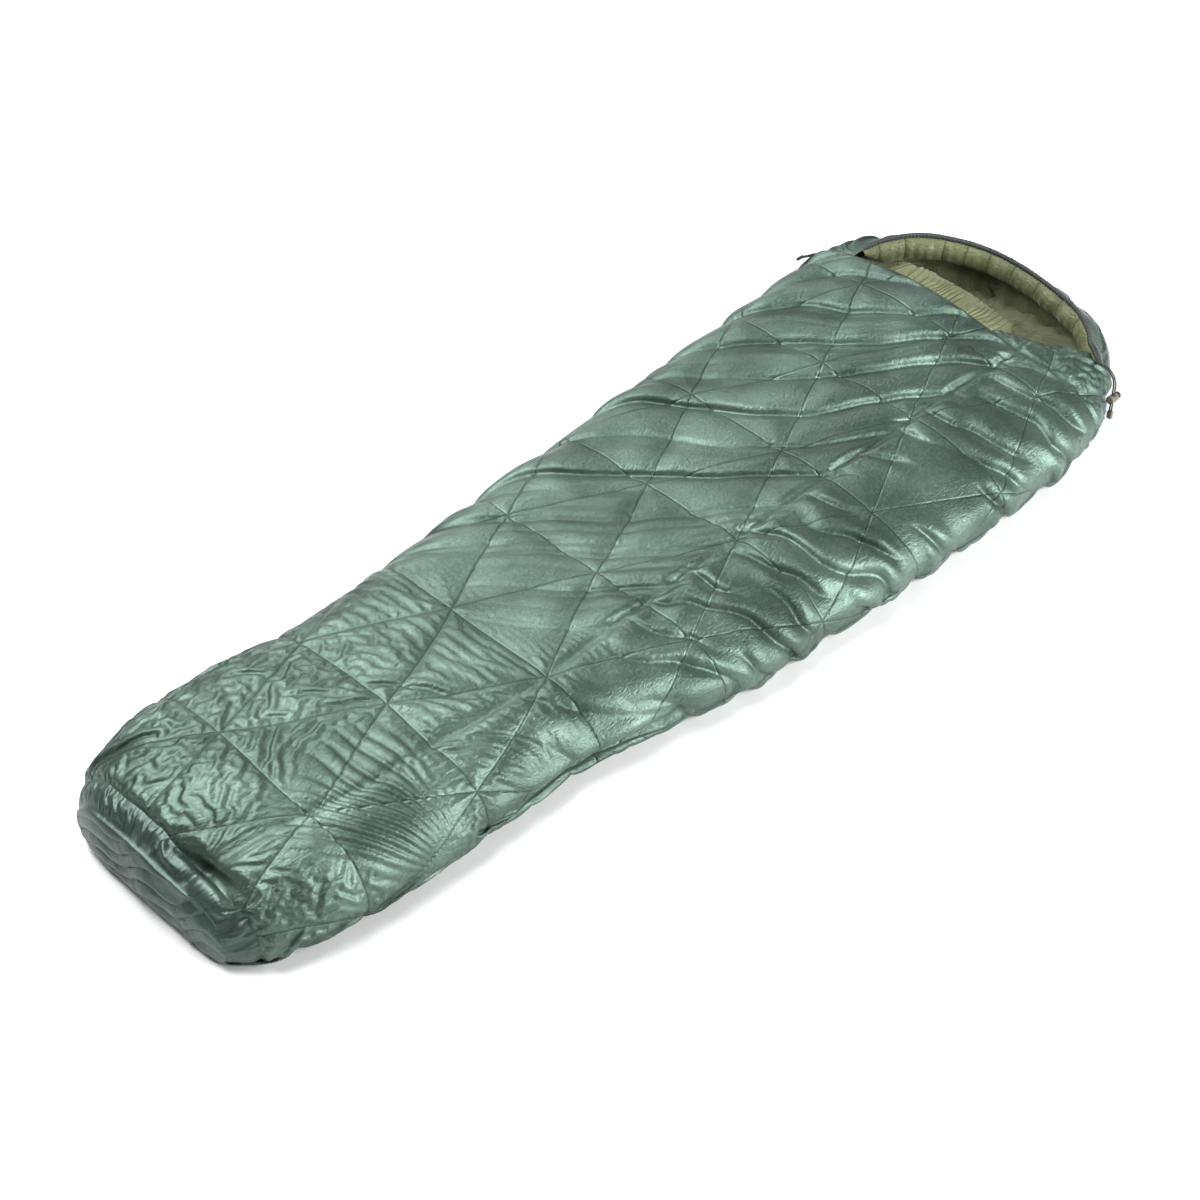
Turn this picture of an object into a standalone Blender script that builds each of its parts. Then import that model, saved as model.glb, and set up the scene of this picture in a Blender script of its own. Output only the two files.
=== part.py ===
"""Mummy sleeping bag lying on its back, as separate quilts, zip, hood and drawcord parts.

Metres. +X runs from the foot end to the head, +Y to the side with the zip, +Z up.
The origin is at the middle of the footprint, on the ground.
"""

import math

import bmesh
import bpy
import numpy as np
from mathutils import Matrix, Vector

# ---------------------------------------------------------------- driving sizes
LENGTH = 2.20
FOOTBOX_END = 0.50
HEAD_EDGE = 1.93
PANEL_GAP = 0.003
SEAM_GAP = 0.0006

# Depths of the three layers under the outer surface.
SHELL = (0.0, 0.0015)
INSULATION = (0.0024, 0.0184)
LINER = (0.0198, 0.0213)

# The zip runs straight along the widest line of the far side.
ZIP_FOOT_Y = 0.250
ZIP_HEAD_Y = 0.362
ZIP_FOOT_Z = 0.075
ZIP_HEAD_Z = 0.090
ZIP_CHANNEL_HALF = 0.007
ZIP_START = 0.515
ZIP_HOME = 1.900

# The lid folds about this line, the lengthwise seam on the near side.
FOLD_Y = -0.150
FOLD_Z = 0.140

# Section sizes along the bag: distance from the foot, half-width on the near side and
# on the far side, height of the widest line, the lengthwise seam's place across and up,
# and how far the top crowns above the seam.
STATIONS = (
    (0.00, 0.185, 0.190, 0.055, -0.080, 0.105, 0.010),
    (0.04, 0.222, 0.226, 0.062, -0.095, 0.130, 0.016),
    (0.10, 0.243, 0.249, 0.068, -0.115, 0.150, 0.020),
    (0.30, 0.273, 0.270, 0.072, -0.145, 0.146, 0.016),
    (0.50, 0.272, 0.250, 0.075, -0.150, 0.140, 0.012),
    (0.62, 0.262, 0.260, 0.076, -0.150, 0.140, 0.007),
    (0.76, 0.288, 0.271, 0.078, -0.150, 0.140, 0.002),
    (0.92, 0.328, 0.283, 0.079, -0.150, 0.140, -0.004),
    (1.15, 0.350, 0.301, 0.082, -0.150, 0.140, -0.005),
    (1.45, 0.364, 0.324, 0.085, -0.150, 0.140, 0.006),
    (1.68, 0.366, 0.342, 0.087, -0.150, 0.140, 0.020),
    (1.83, 0.359, 0.354, 0.089, -0.150, 0.140, 0.031),
    (1.93, 0.341, 0.362, 0.090, -0.150, 0.140, 0.036),
    (2.02, 0.303, 0.335, 0.088, -0.140, 0.143, 0.033),
    (2.10, 0.250, 0.268, 0.082, -0.115, 0.142, 0.025),
    (2.16, 0.180, 0.188, 0.074, -0.080, 0.126, 0.015),
    (2.20, 0.095, 0.100, 0.060, -0.040, 0.096, 0.004),
)
NEAR_WIDEST = 0.68
ROLL_NEAR = 0.046
ROLL_FAR = 0.056
SHOULDER = 1.35
SECTION_MIDDLE = 0.07

# Number of steps round each stretch of a section.
SIDE_STEPS = 6
NEAR_ROLL_STEPS = 3
FLOOR_STEPS = 3
FAR_ROLL_STEPS = 4
SHOULDER_STEPS = 5
TOP_STEPS = 5

# Where the sections of each piece stand.
FOOT_STATIONS = (0.030, 0.06, 0.10, 0.20, 0.35, 0.50)
BODY_STATIONS = (0.503, 0.62, 0.76, 0.92, 1.15, 1.45, 1.68, 1.83, 1.93)
HOOD_STATIONS = (1.933, 2.02, 2.08, 2.13, 2.16, 2.175, 2.19)
END_PANEL = 0.0018

# The face opening.
MOUTH_FAR = 0.262
MOUTH_DEPTH = 0.215
MOUTH_POWER = 2.4
MOUTH_CUT_LOW = 0.100
MOUTH_CUT_HIGH = 0.230
MOUTH_NEAR_END = 148.0
CHANNEL_OUTER = 0.0085
CHANNEL_INNER = 0.0055
CHANNEL_RISE = 0.0095
CORD_RADIUS = 0.0015

# The drawcord tail hangs down the near side of the hood.
TAIL_X = 0.920
TAIL_ROUTE_OUTER = (
    (-0.2830, 0.1330), (-0.2880, 0.1326), (-0.2940, 0.1311), (-0.3000, 0.1280), (-0.3055, 0.1236),
    (-0.3105, 0.1178), (-0.3140, 0.1112), (-0.3160, 0.1040), (-0.3167, 0.0960), (-0.3168, 0.0880),
    (-0.3168, 0.0800), (-0.3168, 0.0720), (-0.3168, 0.0640), (-0.3168, 0.0560), (-0.3168, 0.0480),
    (-0.3168, 0.0400),
)
TAIL_ROUTE_INNER = (
    (-0.2830, 0.1286), (-0.2878, 0.1282), (-0.2928, 0.1268), (-0.2975, 0.1242), (-0.3022, 0.1204),
    (-0.3066, 0.1154), (-0.3098, 0.1096), (-0.3117, 0.1030), (-0.3123, 0.0960), (-0.3124, 0.0880),
    (-0.3124, 0.0800), (-0.3124, 0.0720), (-0.3124, 0.0640), (-0.3124, 0.0560), (-0.3124, 0.0480),
    (-0.3124, 0.0400),
)
LOCK_CENTRE = (TAIL_X, -0.3146, 0.0700)
LOCK_RADIUS = 0.0080
LOCK_HALF_LENGTH = 0.0100
LOCK_BORE = 0.0056
LOCK_SLOT = (0.0024, 0.0046)
PLUNGER_RADIUS = 0.0052
PLUNGER_TRAVEL = 0.0040
PLUNGER_CAP = 0.0068
PLUNGER_INNER_END = -0.0042
LOCK_FLOOR = 0.0015
SPRING_RADIUS = 0.0038
SPRING_WIRE = 0.00025

# The zip pulls' pivots, from the slider's home: along the zip, and outward.
OUTER_PIVOT = (-0.0055, 0.0048)
INNER_PIVOT = (-0.0050, -0.0070)
PIN_SIDES = 12
EYE_SIDES = 16
EYE_RADIUS = 0.0019
EYE_HOLE = 0.0012

# Closure tab at the far corner of the head edge.
TAB_HINGE = 1.920
TAB_LENGTH = 0.046
TAB_WIDTH = 0.018
TAB_THICK = 0.0016
TAB_LIFT = 0.0042
TAB_TILT = 14.0
TAB_CROWN_STEP = 2

SMALL = 0.0003

# ---------------------------------------------------------------- colours
SAGE = (0.155, 0.235, 0.195)
DARK_SAGE = (0.085, 0.125, 0.110)
OLIVE = (0.140, 0.165, 0.070)
WADDING = (0.78, 0.78, 0.76)
CHARCOAL = (0.025, 0.028, 0.028)
GREY_BROWN = (0.110, 0.095, 0.075)
PALE_GREY = (0.45, 0.46, 0.44)
STEEL = (0.42, 0.42, 0.43)


def clear_scene():
    for obj in list(bpy.data.objects):
        bpy.data.objects.remove(obj, do_unlink=True)


def new_collection(name):
    collection = bpy.data.collections.new(name)
    bpy.context.scene.collection.children.link(collection)
    return collection


def principled(name, colour, roughness, metallic=0.0):
    found = bpy.data.materials.get(name)
    if found:
        return found
    material = bpy.data.materials.new(name)
    material.use_nodes = True
    shader = material.node_tree.nodes["Principled BSDF"]
    shader.inputs["Base Color"].default_value = (*colour, 1.0)
    shader.inputs["Roughness"].default_value = roughness
    shader.inputs["Metallic"].default_value = metallic
    return material


# ---------------------------------------------------------------- sections of the bag
def section_at(along):
    """Section sizes at a distance from the foot, on smooth curves through STATIONS."""
    table = np.array(STATIONS)
    places = table[:, 0]
    high = int(np.clip(np.searchsorted(places, along), 1, len(places) - 1))
    low = high - 1
    step = places[high] - places[low]
    t = (along - places[low]) / step
    slopes = np.gradient(table[:, 1:], places, axis=0)
    ends = table[[low, high], 1:]
    tilt = slopes[[low, high]] * step
    values = (
        (2 * t**3 - 3 * t**2 + 1) * ends[0]
        + (t**3 - 2 * t**2 + t) * tilt[0]
        + (3 * t**2 - 2 * t**3) * ends[1]
        + (t**3 - t**2) * tilt[1]
    )
    near, far, widest, crease_y, crease_z, rise = values
    if FOOTBOX_END <= along <= HEAD_EDGE:
        part = (along - FOOTBOX_END) / (HEAD_EDGE - FOOTBOX_END)
        far = ZIP_FOOT_Y + part * (ZIP_HEAD_Y - ZIP_FOOT_Y)
        widest = ZIP_FOOT_Z + part * (ZIP_HEAD_Z - ZIP_FOOT_Z)
        crease_y, crease_z = FOLD_Y, FOLD_Z
    return near, far, widest, crease_y, crease_z, rise


def section_points(along):
    """The outer line of a section, from the lengthwise seam down the near side, over
    the floor, up the far side and back over the top, as rows of (y, z)."""
    near, far, widest, crease_y, crease_z, rise = section_at(along)
    near_z = NEAR_WIDEST * widest
    points = []
    for k in range(SIDE_STEPS):
        angle = math.pi / 2 * k / SIDE_STEPS
        y = crease_y - (near + crease_y) * math.sin(angle)
        points.append((y, near_z + (crease_z - near_z) * math.cos(angle)))
    for k in range(NEAR_ROLL_STEPS):
        angle = math.pi / 2 * k / NEAR_ROLL_STEPS
        points.append((-near + ROLL_NEAR * (1 - math.cos(angle)), near_z * (1 - math.sin(angle))))
    floor_low, floor_high = -near + ROLL_NEAR, far - ROLL_FAR
    for k in range(FLOOR_STEPS):
        points.append((floor_low + (floor_high - floor_low) * k / FLOOR_STEPS, 0.0))
    zip_angle = math.asin(ZIP_CHANNEL_HALF / widest)
    for k in range(FAR_ROLL_STEPS + 1):
        angle = math.pi / 2 + (zip_angle - math.pi / 2) * k / FAR_ROLL_STEPS
        points.append((far - ROLL_FAR * (1 - math.cos(angle)), widest * (1 - math.sin(angle))))
    points.append((far, widest))
    shoulder = SHOULDER * (crease_z - widest)
    low_angle = math.asin(ZIP_CHANNEL_HALF / (crease_z - widest))
    for k in range(SHOULDER_STEPS):
        angle = low_angle + (math.pi / 2 - low_angle) * k / SHOULDER_STEPS
        y = far - shoulder * (1 - math.cos(angle))
        top = crease_z + rise * math.sin(math.pi * (y - crease_y) / (far - crease_y))
        points.append((y, widest + (top - widest) * math.sin(angle)))
    for k in range(TOP_STEPS):
        y = far - shoulder + (crease_y - far + shoulder) * k / TOP_STEPS
        points.append((y, crease_z + rise * math.sin(math.pi * (y - crease_y) / (far - crease_y))))
    return np.array(points)


# Places round a section, as positions in section_points.
CREASE = 0
NEAR_SEAM = SIDE_STEPS + 1
ZIP_LOW = SIDE_STEPS + NEAR_ROLL_STEPS + FLOOR_STEPS + FAR_ROLL_STEPS
ZIP_HIGH = ZIP_LOW + 2
ROUND = ZIP_HIGH + SHOULDER_STEPS + TOP_STEPS


def inward_normals(points):
    """Unit normals in the section's plane, pointing into the bag."""
    along = np.roll(points, -1, axis=0) - np.roll(points, 1, axis=0)
    normals = np.stack([-along[:, 1], along[:, 0]], axis=1)
    return normals / np.linalg.norm(normals, axis=1, keepdims=True)


def in_space(along, points):
    """Section points as positions in the bag's frame."""
    x = np.full(len(points), along - LENGTH / 2)
    return np.column_stack([x, points])


def depth_line(along, depth):
    """The whole section line at a depth under the outer surface."""
    points = section_points(along)
    return points + inward_normals(points) * depth


def full_ring(along, depth):
    return in_space(along, depth_line(along, depth))


def strip_ring(along, layer, first, last):
    """The cross-section of one layer between two places round the section."""
    places = [k % ROUND for k in range(first, last + 1)]
    outer = depth_line(along, layer[0])[places]
    inner = depth_line(along, layer[1])[places]
    for line in (outer, inner):
        start = line[1] - line[0]
        end = line[-2] - line[-1]
        line[0] += start / np.linalg.norm(start) * SEAM_GAP / 2
        line[-1] += end / np.linalg.norm(end) * SEAM_GAP / 2
    return in_space(along, np.vstack([outer, inner[::-1]]))


def crown_height(along, across):
    """Height of the outer surface at a place on the top of the bag."""
    points = section_points(along)
    over = np.vstack([points[ZIP_LOW + 1 :], points[: SIDE_STEPS + 1]])[::-1]
    return float(np.interp(across, over[:, 0], over[:, 1]))


# ---------------------------------------------------------------- mesh helpers
def add_object(name, mesh, material, collection):
    mesh.materials.append(material)
    obj = bpy.data.objects.new(name, mesh)
    collection.objects.link(obj)
    return obj


def finish_bmesh(name, bm, material, collection, smooth=True):
    bmesh.ops.recalc_face_normals(bm, faces=bm.faces)
    mesh = bpy.data.meshes.new(name)
    bm.to_mesh(mesh)
    bm.free()
    if smooth:
        mesh.shade_smooth()
        mesh.set_sharp_from_angle(angle=math.radians(40))
    return add_object(name, mesh, material, collection)


def split_quad(bm, a, b, c, d):
    """Two triangles along the diagonal that lies further from the bag's middle, so that the
    layers, which all bend the same way, stay clear of each other."""
    one = (a.co + c.co) / 2 - Vector((0, 0, SECTION_MIDDLE))
    other = (b.co + d.co) / 2 - Vector((0, 0, SECTION_MIDDLE))
    if one.yz.length > other.yz.length:
        bm.faces.new((a, b, c))
        bm.faces.new((a, c, d))
    else:
        bm.faces.new((a, b, d))
        bm.faces.new((b, c, d))


def loft(name, rings, material, collection, ring_of_rings=False):
    """A solid through rings of equal length, capped at both ends or closed on itself."""
    bm = bmesh.new()
    rows = [[bm.verts.new(point) for point in ring] for ring in rings]
    pairs = list(zip(rows, rows[1:]))
    if ring_of_rings:
        pairs.append((rows[-1], rows[0]))
    for one, other in pairs:
        for k in range(len(one)):
            after = (k + 1) % len(one)
            split_quad(bm, one[k], one[after], other[after], other[k])
    if not ring_of_rings:
        bm.faces.new(rows[0])
        bm.faces.new(rows[-1])
    return finish_bmesh(name, bm, material, collection)


def block(name, low, high, material, collection, frame=None, bevel=0.0):
    """A box between two corners, in a frame of its own."""
    low, high = Vector(low), Vector(high)
    bm = bmesh.new()
    place = Matrix.Translation((low + high) / 2) @ Matrix.Diagonal((*(high - low), 1.0))
    bmesh.ops.create_cube(bm, size=1.0, matrix=place)
    obj = finish_bmesh(name, bm, material, collection, smooth=False)
    if frame is not None:
        obj.matrix_world = frame
    if bevel:
        round_edges = obj.modifiers.new("round", "BEVEL")
        round_edges.width = bevel
        round_edges.segments = 2
    return obj


def cylinder(name, start, end, radius, material, collection, frame=None, sides=20):
    """A round bar between two points."""
    start, end = Vector(start), Vector(end)
    run = end - start
    bm = bmesh.new()
    turn = run.to_track_quat("Z", "Y").to_matrix().to_4x4()
    place = Matrix.Translation((start + end) / 2) @ turn
    bmesh.ops.create_cone(
        bm, cap_ends=True, segments=sides, radius1=radius, radius2=radius, depth=run.length, matrix=place
    )
    obj = finish_bmesh(name, bm, material, collection)
    if frame is not None:
        obj.matrix_world = frame
    return obj


def tube(name, points, radius, material, collection, resolution=2):
    """A round tube along a line of points, with closed ends."""
    curve = bpy.data.curves.new(name, "CURVE")
    curve.dimensions = "3D"
    curve.bevel_depth = radius
    curve.bevel_resolution = resolution
    curve.use_fill_caps = True
    spline = curve.splines.new("POLY")
    spline.points.add(len(points) - 1)
    for place, point in zip(spline.points, points):
        place.co = (*point, 1.0)
    curve.materials.append(material)
    obj = bpy.data.objects.new(name, curve)
    collection.objects.link(obj)
    return obj


def combine(obj, helper, operation, cutters):
    """Cuts a helper from an object, or joins it to the object."""
    for collection in list(helper.users_collection):
        collection.objects.unlink(helper)
    cutters.objects.link(helper)
    helper.hide_render = True
    helper.display_type = "WIRE"
    boolean = obj.modifiers.new(helper.name, "BOOLEAN")
    boolean.operation = operation
    boolean.solver = "EXACT"
    boolean.object = helper
    return obj


def keep_frame(obj, frame):
    """Moves an object's origin to a frame, and leaves its shape where it is."""
    obj.data.transform(frame.inverted() @ obj.matrix_world)
    obj.matrix_world = frame
    return obj


# ---------------------------------------------------------------- quilts
def quilt(prefix, stations, first, last, shell_colour, bag):
    """Shell, insulation and liner of one panel."""
    looks = (
        ("shell", SHELL, principled(f"{prefix}_shell", shell_colour, 0.42)),
        ("insulation", INSULATION, principled(f"{prefix}_insulation", WADDING, 0.95)),
        ("liner", LINER, principled(f"{prefix}_liner", OLIVE, 0.55)),
    )
    for layer_name, layer, material in looks:
        rings = [strip_ring(along, layer, first, last) for along in stations]
        loft(f"{prefix}_{layer_name}", rings, material, bag)


def footbox(bag):
    """A sleeve of shell with a flat end panel, and insulation and liner cups in it."""
    outer = [full_ring(along, SHELL[0]) for along in (END_PANEL + SMALL, *FOOT_STATIONS)]
    inner = [full_ring(along, SHELL[1]) for along in (END_PANEL + SMALL, *FOOT_STATIONS)]
    sleeve = principled("footbox_shell", SAGE, 0.42)
    loft("footbox_shell", outer + inner[::-1], sleeve, bag, ring_of_rings=True)
    panel = principled("footbox_end_panel", DARK_SAGE, 0.48)
    loft("footbox_end_panel", [full_ring(0.0, SHELL[0]), full_ring(END_PANEL, SHELL[0])], panel, bag)
    looks = (
        ("insulation", INSULATION, principled("footbox_insulation", WADDING, 0.95)),
        ("liner", LINER, principled("footbox_liner", OLIVE, 0.55)),
    )
    for layer_name, (near, deep), material in looks:
        outer = [full_ring(along, near) for along in (near + SMALL, *FOOT_STATIONS)]
        inner = [full_ring(along, deep) for along in (deep + SMALL, *FOOT_STATIONS)]
        loft(f"footbox_{layer_name}", outer[::-1] + inner, material, bag)


def mouth_outline(inset=0.0, steps=16, start=4.0, end=176.0):
    """The rim of the face opening, from the far corner over the crown to the near one."""
    points = []
    for k in range(steps + 1):
        angle = math.radians(start + (end - start) * k / steps)
        across = math.copysign(abs(math.cos(angle)) ** (2 / MOUTH_POWER), math.cos(angle))
        along = math.sin(angle) ** (2 / MOUTH_POWER)
        points.append((HEAD_EDGE + (MOUTH_DEPTH - inset) * along, (MOUTH_FAR - inset) * across))
    return points


def mouth_cutter(material, bag):
    """A prism over the face opening. Its near corner stands forward of the head edge."""
    outline = mouth_outline(start=0.0, end=MOUTH_NEAR_END)
    outline += [(HEAD_EDGE + 0.045, -0.200), (HEAD_EDGE + 0.010, -0.146), (HEAD_EDGE - 0.03, -0.120)]
    outline += [(HEAD_EDGE - 0.03, MOUTH_FAR)]
    rings = [
        [(along - LENGTH / 2, across, z) for along, across in outline]
        for z in (MOUTH_CUT_LOW, MOUTH_CUT_HIGH)
    ]
    return loft("mouth_cutter", rings, material, bag)


def hood_skin(depth):
    """One side of a hood layer, from its open end to where it closes at the crown."""
    end = LENGTH - depth
    places = [along for along in HOOD_STATIONS if along < end - PANEL_GAP] + [end]
    return [full_ring(along, depth) for along in places]


def hood(bag, cutters):
    """The bowl round the head, three layers deep, cut open over the face."""
    looks = (
        ("shell", SHELL, principled("hood_shell", SAGE, 0.42)),
        ("insulation", INSULATION, principled("hood_insulation", WADDING, 0.95)),
        ("liner", LINER, principled("hood_liner", OLIVE, 0.55)),
    )
    cutter = mouth_cutter(looks[0][2], bag)
    for layer_name, (near, deep), material in looks:
        outer = hood_skin(near)
        inner = hood_skin(deep)
        layer = loft(f"hood_{layer_name}", outer[::-1] + inner, material, bag)
        combine(layer, cutter, "DIFFERENCE", cutters)


def rim_path(steps=18):
    """The centre line of the drawcord channel, on top of the hood's rim."""
    points = []
    for along, across in mouth_outline(inset=0.003, steps=steps, start=7.0, end=MOUTH_NEAR_END - 3):
        x = along - LENGTH / 2
        points.append(Vector((x, across, crown_height(along, across) + CHANNEL_RISE)))
    last = Vector((TAIL_X, TAIL_ROUTE_OUTER[0][0] + 0.004, 0.131))
    points.append(points[-1].lerp(last, 0.5) + Vector((0.004, 0.0, 0.003)))
    points.append(last)
    return points


def hood_drawcord_channel(bag):
    """A folded binding round the rim, open along its outer side."""
    path = rim_path()
    opening, turns = 35.0, 8
    rings = []
    for k, point in enumerate(path):
        ahead = path[min(k + 1, len(path) - 1)] - path[max(k - 1, 0)]
        ahead.normalize()
        outward = ahead.cross(Vector((0, 0, 1))).normalized()
        if outward.dot(point - Vector((HEAD_EDGE - LENGTH / 2, 0.0, point.z))) < 0:
            outward = -outward
        upward = outward.cross(ahead).normalized()
        if upward.z < 0:
            upward = -upward
        ring = []
        for radius, order in ((CHANNEL_OUTER, 1), (CHANNEL_INNER, -1)):
            angles = np.linspace(opening, 360 - opening, turns + 1)[::order]
            for degrees in angles:
                angle = math.radians(degrees) - math.radians(60)
                ring.append(point + radius * (outward * math.cos(angle) + upward * math.sin(angle)))
        rings.append(ring)
    binding = principled("hood_drawcord_channel", CHARCOAL, 0.7)
    loft("hood_drawcord_channel", rings, binding, bag)


def hood_drawcord(bag):
    """The cord inside the channel."""
    path = rim_path(steps=30)
    tube("hood_drawcord", path, CORD_RADIUS, principled("hood_drawcord", CHARCOAL, 0.75), bag)


# ---------------------------------------------------------------- zip
def zip_frame():
    """Origin at the slider's home, X along the zip to the head, Y outward, Z up."""
    foot = Vector((FOOTBOX_END - LENGTH / 2, ZIP_FOOT_Y, ZIP_FOOT_Z))
    head = Vector((HEAD_EDGE - LENGTH / 2, ZIP_HEAD_Y, ZIP_HEAD_Z))
    along = (head - foot).normalized()
    outward = Vector((0, 1, 0))
    outward = (outward - along * outward.dot(along)).normalized()
    upward = along.cross(outward)
    home = foot.lerp(head, (ZIP_HOME - FOOTBOX_END) / (HEAD_EDGE - FOOTBOX_END))
    frame = Matrix((along, outward, upward)).transposed().to_4x4()
    frame.translation = home
    return frame


def zip_foot_end():
    """How far the zip's foot end lies behind the slider's home, along the zip."""
    run = (HEAD_EDGE - FOOTBOX_END, ZIP_HEAD_Y - ZIP_FOOT_Y, ZIP_HEAD_Z - ZIP_FOOT_Z)
    return (ZIP_HOME - ZIP_START) * Vector(run).length / run[0]


def zip_tapes_and_coils(bag, frame):
    tape_cloth = principled("zip_tape", CHARCOAL, 0.8)
    nylon = principled("zip_coil", CHARCOAL, 0.35)
    foot = -zip_foot_end()
    upper_end, lower_end = 0.0040, 0.0220
    block("zip_tape_top", (foot, -0.0014, 0.0026), (upper_end, -0.0004, 0.0064), tape_cloth, bag, frame)
    block("zip_tape_bottom", (foot, -0.0014, -0.0064), (lower_end, -0.0004, -0.0026), tape_cloth, bag, frame)
    block("zip_coil_top", (foot, -0.0020, 0.0003), (upper_end, 0.0002, 0.0022), nylon, bag, frame)
    block("zip_coil_bottom", (foot, -0.0020, -0.0022), (0.0130, 0.0002, -0.0003), nylon, bag, frame)


def zip_stops(bag, frame):
    metal = principled("zip_stop", STEEL, 0.35, 1.0)
    foot = -zip_foot_end()
    block("zip_top_stop", (0.0140, -0.0022, -0.0022), (0.0180, 0.0012, 0.0016), metal, bag, frame)
    bottom_low = (foot - 0.0045, -0.0022, -0.0030)
    block("zip_bottom_stop", bottom_low, (foot - SMALL, 0.0012, 0.0030), metal, bag, frame)


def zip_slider(bag, cutters, frame):
    """Two plates, joined by the wedge at the head end, with a bail on the outer plate and
    a small eye on the inner one. The upper side is open, so the upper coil can leave."""
    metal = principled("zip_slider", STEEL, 0.3, 1.0)
    half_length, half_height = 0.0110, 0.0055
    low = (-half_length, 0.0014, -half_height)
    body = block("zip_slider", low, (half_length, 0.0026, half_height), metal, bag, frame)
    blocks = (
        ("slider_wedge", (0.0050, -0.0045, 0.0006), (0.0105, 0.0020, 0.0046)),
        ("slider_inner_plate", (-half_length, -0.0048, -half_height), (half_length, -0.0034, half_height)),
        ("slider_post_low", (-0.0075, 0.0020, -0.0050), (-0.0035, 0.0060, -0.0035)),
        ("slider_post_high", (-0.0075, 0.0020, 0.0035), (-0.0035, 0.0060, 0.0050)),
        ("slider_eye_low", (-0.0070, -0.0085, -0.0044), (-0.0030, -0.0040, -0.0032)),
        ("slider_eye_high", (-0.0070, -0.0085, 0.0032), (-0.0030, -0.0040, 0.0044)),
    )
    for name, start, end in blocks:
        combine(body, block(name, start, end, metal, bag, frame), "UNION", cutters)
    pins = (
        ("slider_pin", OUTER_PIVOT, 0.0045, 0.0008),
        ("slider_eye_pin", INNER_PIVOT, 0.0040, 0.0006),
    )
    for name, (x, y), half, radius in pins:
        pin = cylinder(name, (x, y, -half), (x, y, half), radius, metal, bag, frame, PIN_SIDES)
        combine(body, pin, "UNION", cutters)


def zip_pull(name, pivot, length, half_width, thickness, side, bag, cutters, frame):
    """A flat tab with an eye round the slider's pin; side is +1 outside and -1 inside."""
    metal = principled(name, STEEL, 0.3, 1.0)
    x, y = pivot
    ends = ((x, y, -half_width), (x, y, half_width))
    eye = cylinder(name, *ends, EYE_RADIUS, metal, bag, frame, EYE_SIDES)
    middle = y + side * 0.0004
    low = (x - length, middle - thickness / 2, -half_width)
    high = (x - EYE_HOLE, middle + thickness / 2, half_width)
    tab = block(f"{name}_tab", low, high, metal, bag, frame)
    combine(eye, tab, "UNION", cutters)
    hole = cylinder(f"{name}_hole", (x, y, -0.01), (x, y, 0.01), EYE_HOLE, metal, bag, frame, EYE_SIDES)
    combine(eye, hole, "DIFFERENCE", cutters)
    turned = frame @ Matrix.Translation((x, y, 0.0))
    keep_frame(eye, turned)


def draft_tube(bag, frame):
    """The padded tube that keeps draughts out behind the zip."""
    radius = 0.013
    depth = LINER[1] + radius + 0.0015
    foot = -zip_foot_end()
    count = 12
    points = [frame @ Vector((foot + (-0.03 - foot) * k / count, -depth, -0.004)) for k in range(count + 1)]
    tube("draft_tube", points, radius, principled("draft_tube", OLIVE, 0.6), bag, resolution=3)


def draft_collar(bag):
    """The padded roll inside the head edge, sewn to the lid."""
    radius = 0.019
    along = HEAD_EDGE - 0.006
    line = depth_line(along, LINER[1] + radius + 0.0015)
    over = np.vstack([line[ZIP_HIGH:], line[:1]])[::-1]
    count = 14
    points = []
    for k in range(count + 1):
        across = -0.095 + (0.200 + 0.095) * k / count
        z = float(np.interp(across, over[:, 0], over[:, 1]))
        points.append((along - LENGTH / 2, across, z))
    tube("draft_collar", points, radius, principled("draft_collar", OLIVE, 0.6), bag, resolution=3)


# ---------------------------------------------------------------- closure tab
def tab_frame():
    """Origin on the tab's fold, X to the foot, Y across the tab, Z away from the lid."""
    points = section_points(TAB_HINGE)
    spot = ZIP_HIGH + TAB_CROWN_STEP
    across = points[spot + 1] - points[spot - 1]
    across /= np.linalg.norm(across)
    outward = np.array([across[1], -across[0]])
    if outward[1] < 0:
        outward = -outward
    centre = points[spot] + outward * TAB_LIFT
    x_axis = Vector((-1.0, 0.0, 0.0))
    z_axis = Vector((0.0, *outward))
    y_axis = z_axis.cross(x_axis)
    frame = Matrix((x_axis, y_axis, z_axis)).transposed().to_4x4()
    frame.translation = (TAB_HINGE - LENGTH / 2, *centre)
    return frame


def closure_tab(bag):
    """A strap folded back over the lid, its free end up. It swings over to the hood."""
    frame = tab_frame() @ Matrix.Rotation(-math.radians(TAB_TILT), 4, "Y")
    webbing = principled("closure_tab", CHARCOAL, 0.7)
    half = TAB_WIDTH / 2
    top = TAB_THICK / 2
    block("closure_tab", (0.0008, -half, -top), (TAB_LENGTH - 0.006, half, top), webbing, bag, frame, 0.0004)
    hooks = principled("closure_hook_patch", PALE_GREY, 0.8)
    patch_low = (0.010, -half + 0.002, top + SMALL)
    patch_high = (TAB_LENGTH - 0.010, half - 0.002, top + SMALL + 0.0009)
    block("closure_hook_patch", patch_low, patch_high, hooks, bag, frame)
    rubber = principled("closure_tab_end", CHARCOAL, 0.5)
    end = TAB_LENGTH - 0.0022
    cylinder("closure_tab_end", (end, -half, 0.0), (end, half, 0.0), 0.0033, rubber, bag, frame, 16)


def closure_loop_patch(bag):
    """The patch on the hood's far corner that the tab closes on."""
    layer = (-0.0012, -SMALL)
    first = ZIP_HIGH + TAB_CROWN_STEP - 1
    rings = [strip_ring(along, layer, first, first + 2) for along in (1.940, 1.955, 1.972)]
    loft("closure_loop_patch", rings, principled("closure_loop_patch", CHARCOAL, 0.9), bag)


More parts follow.
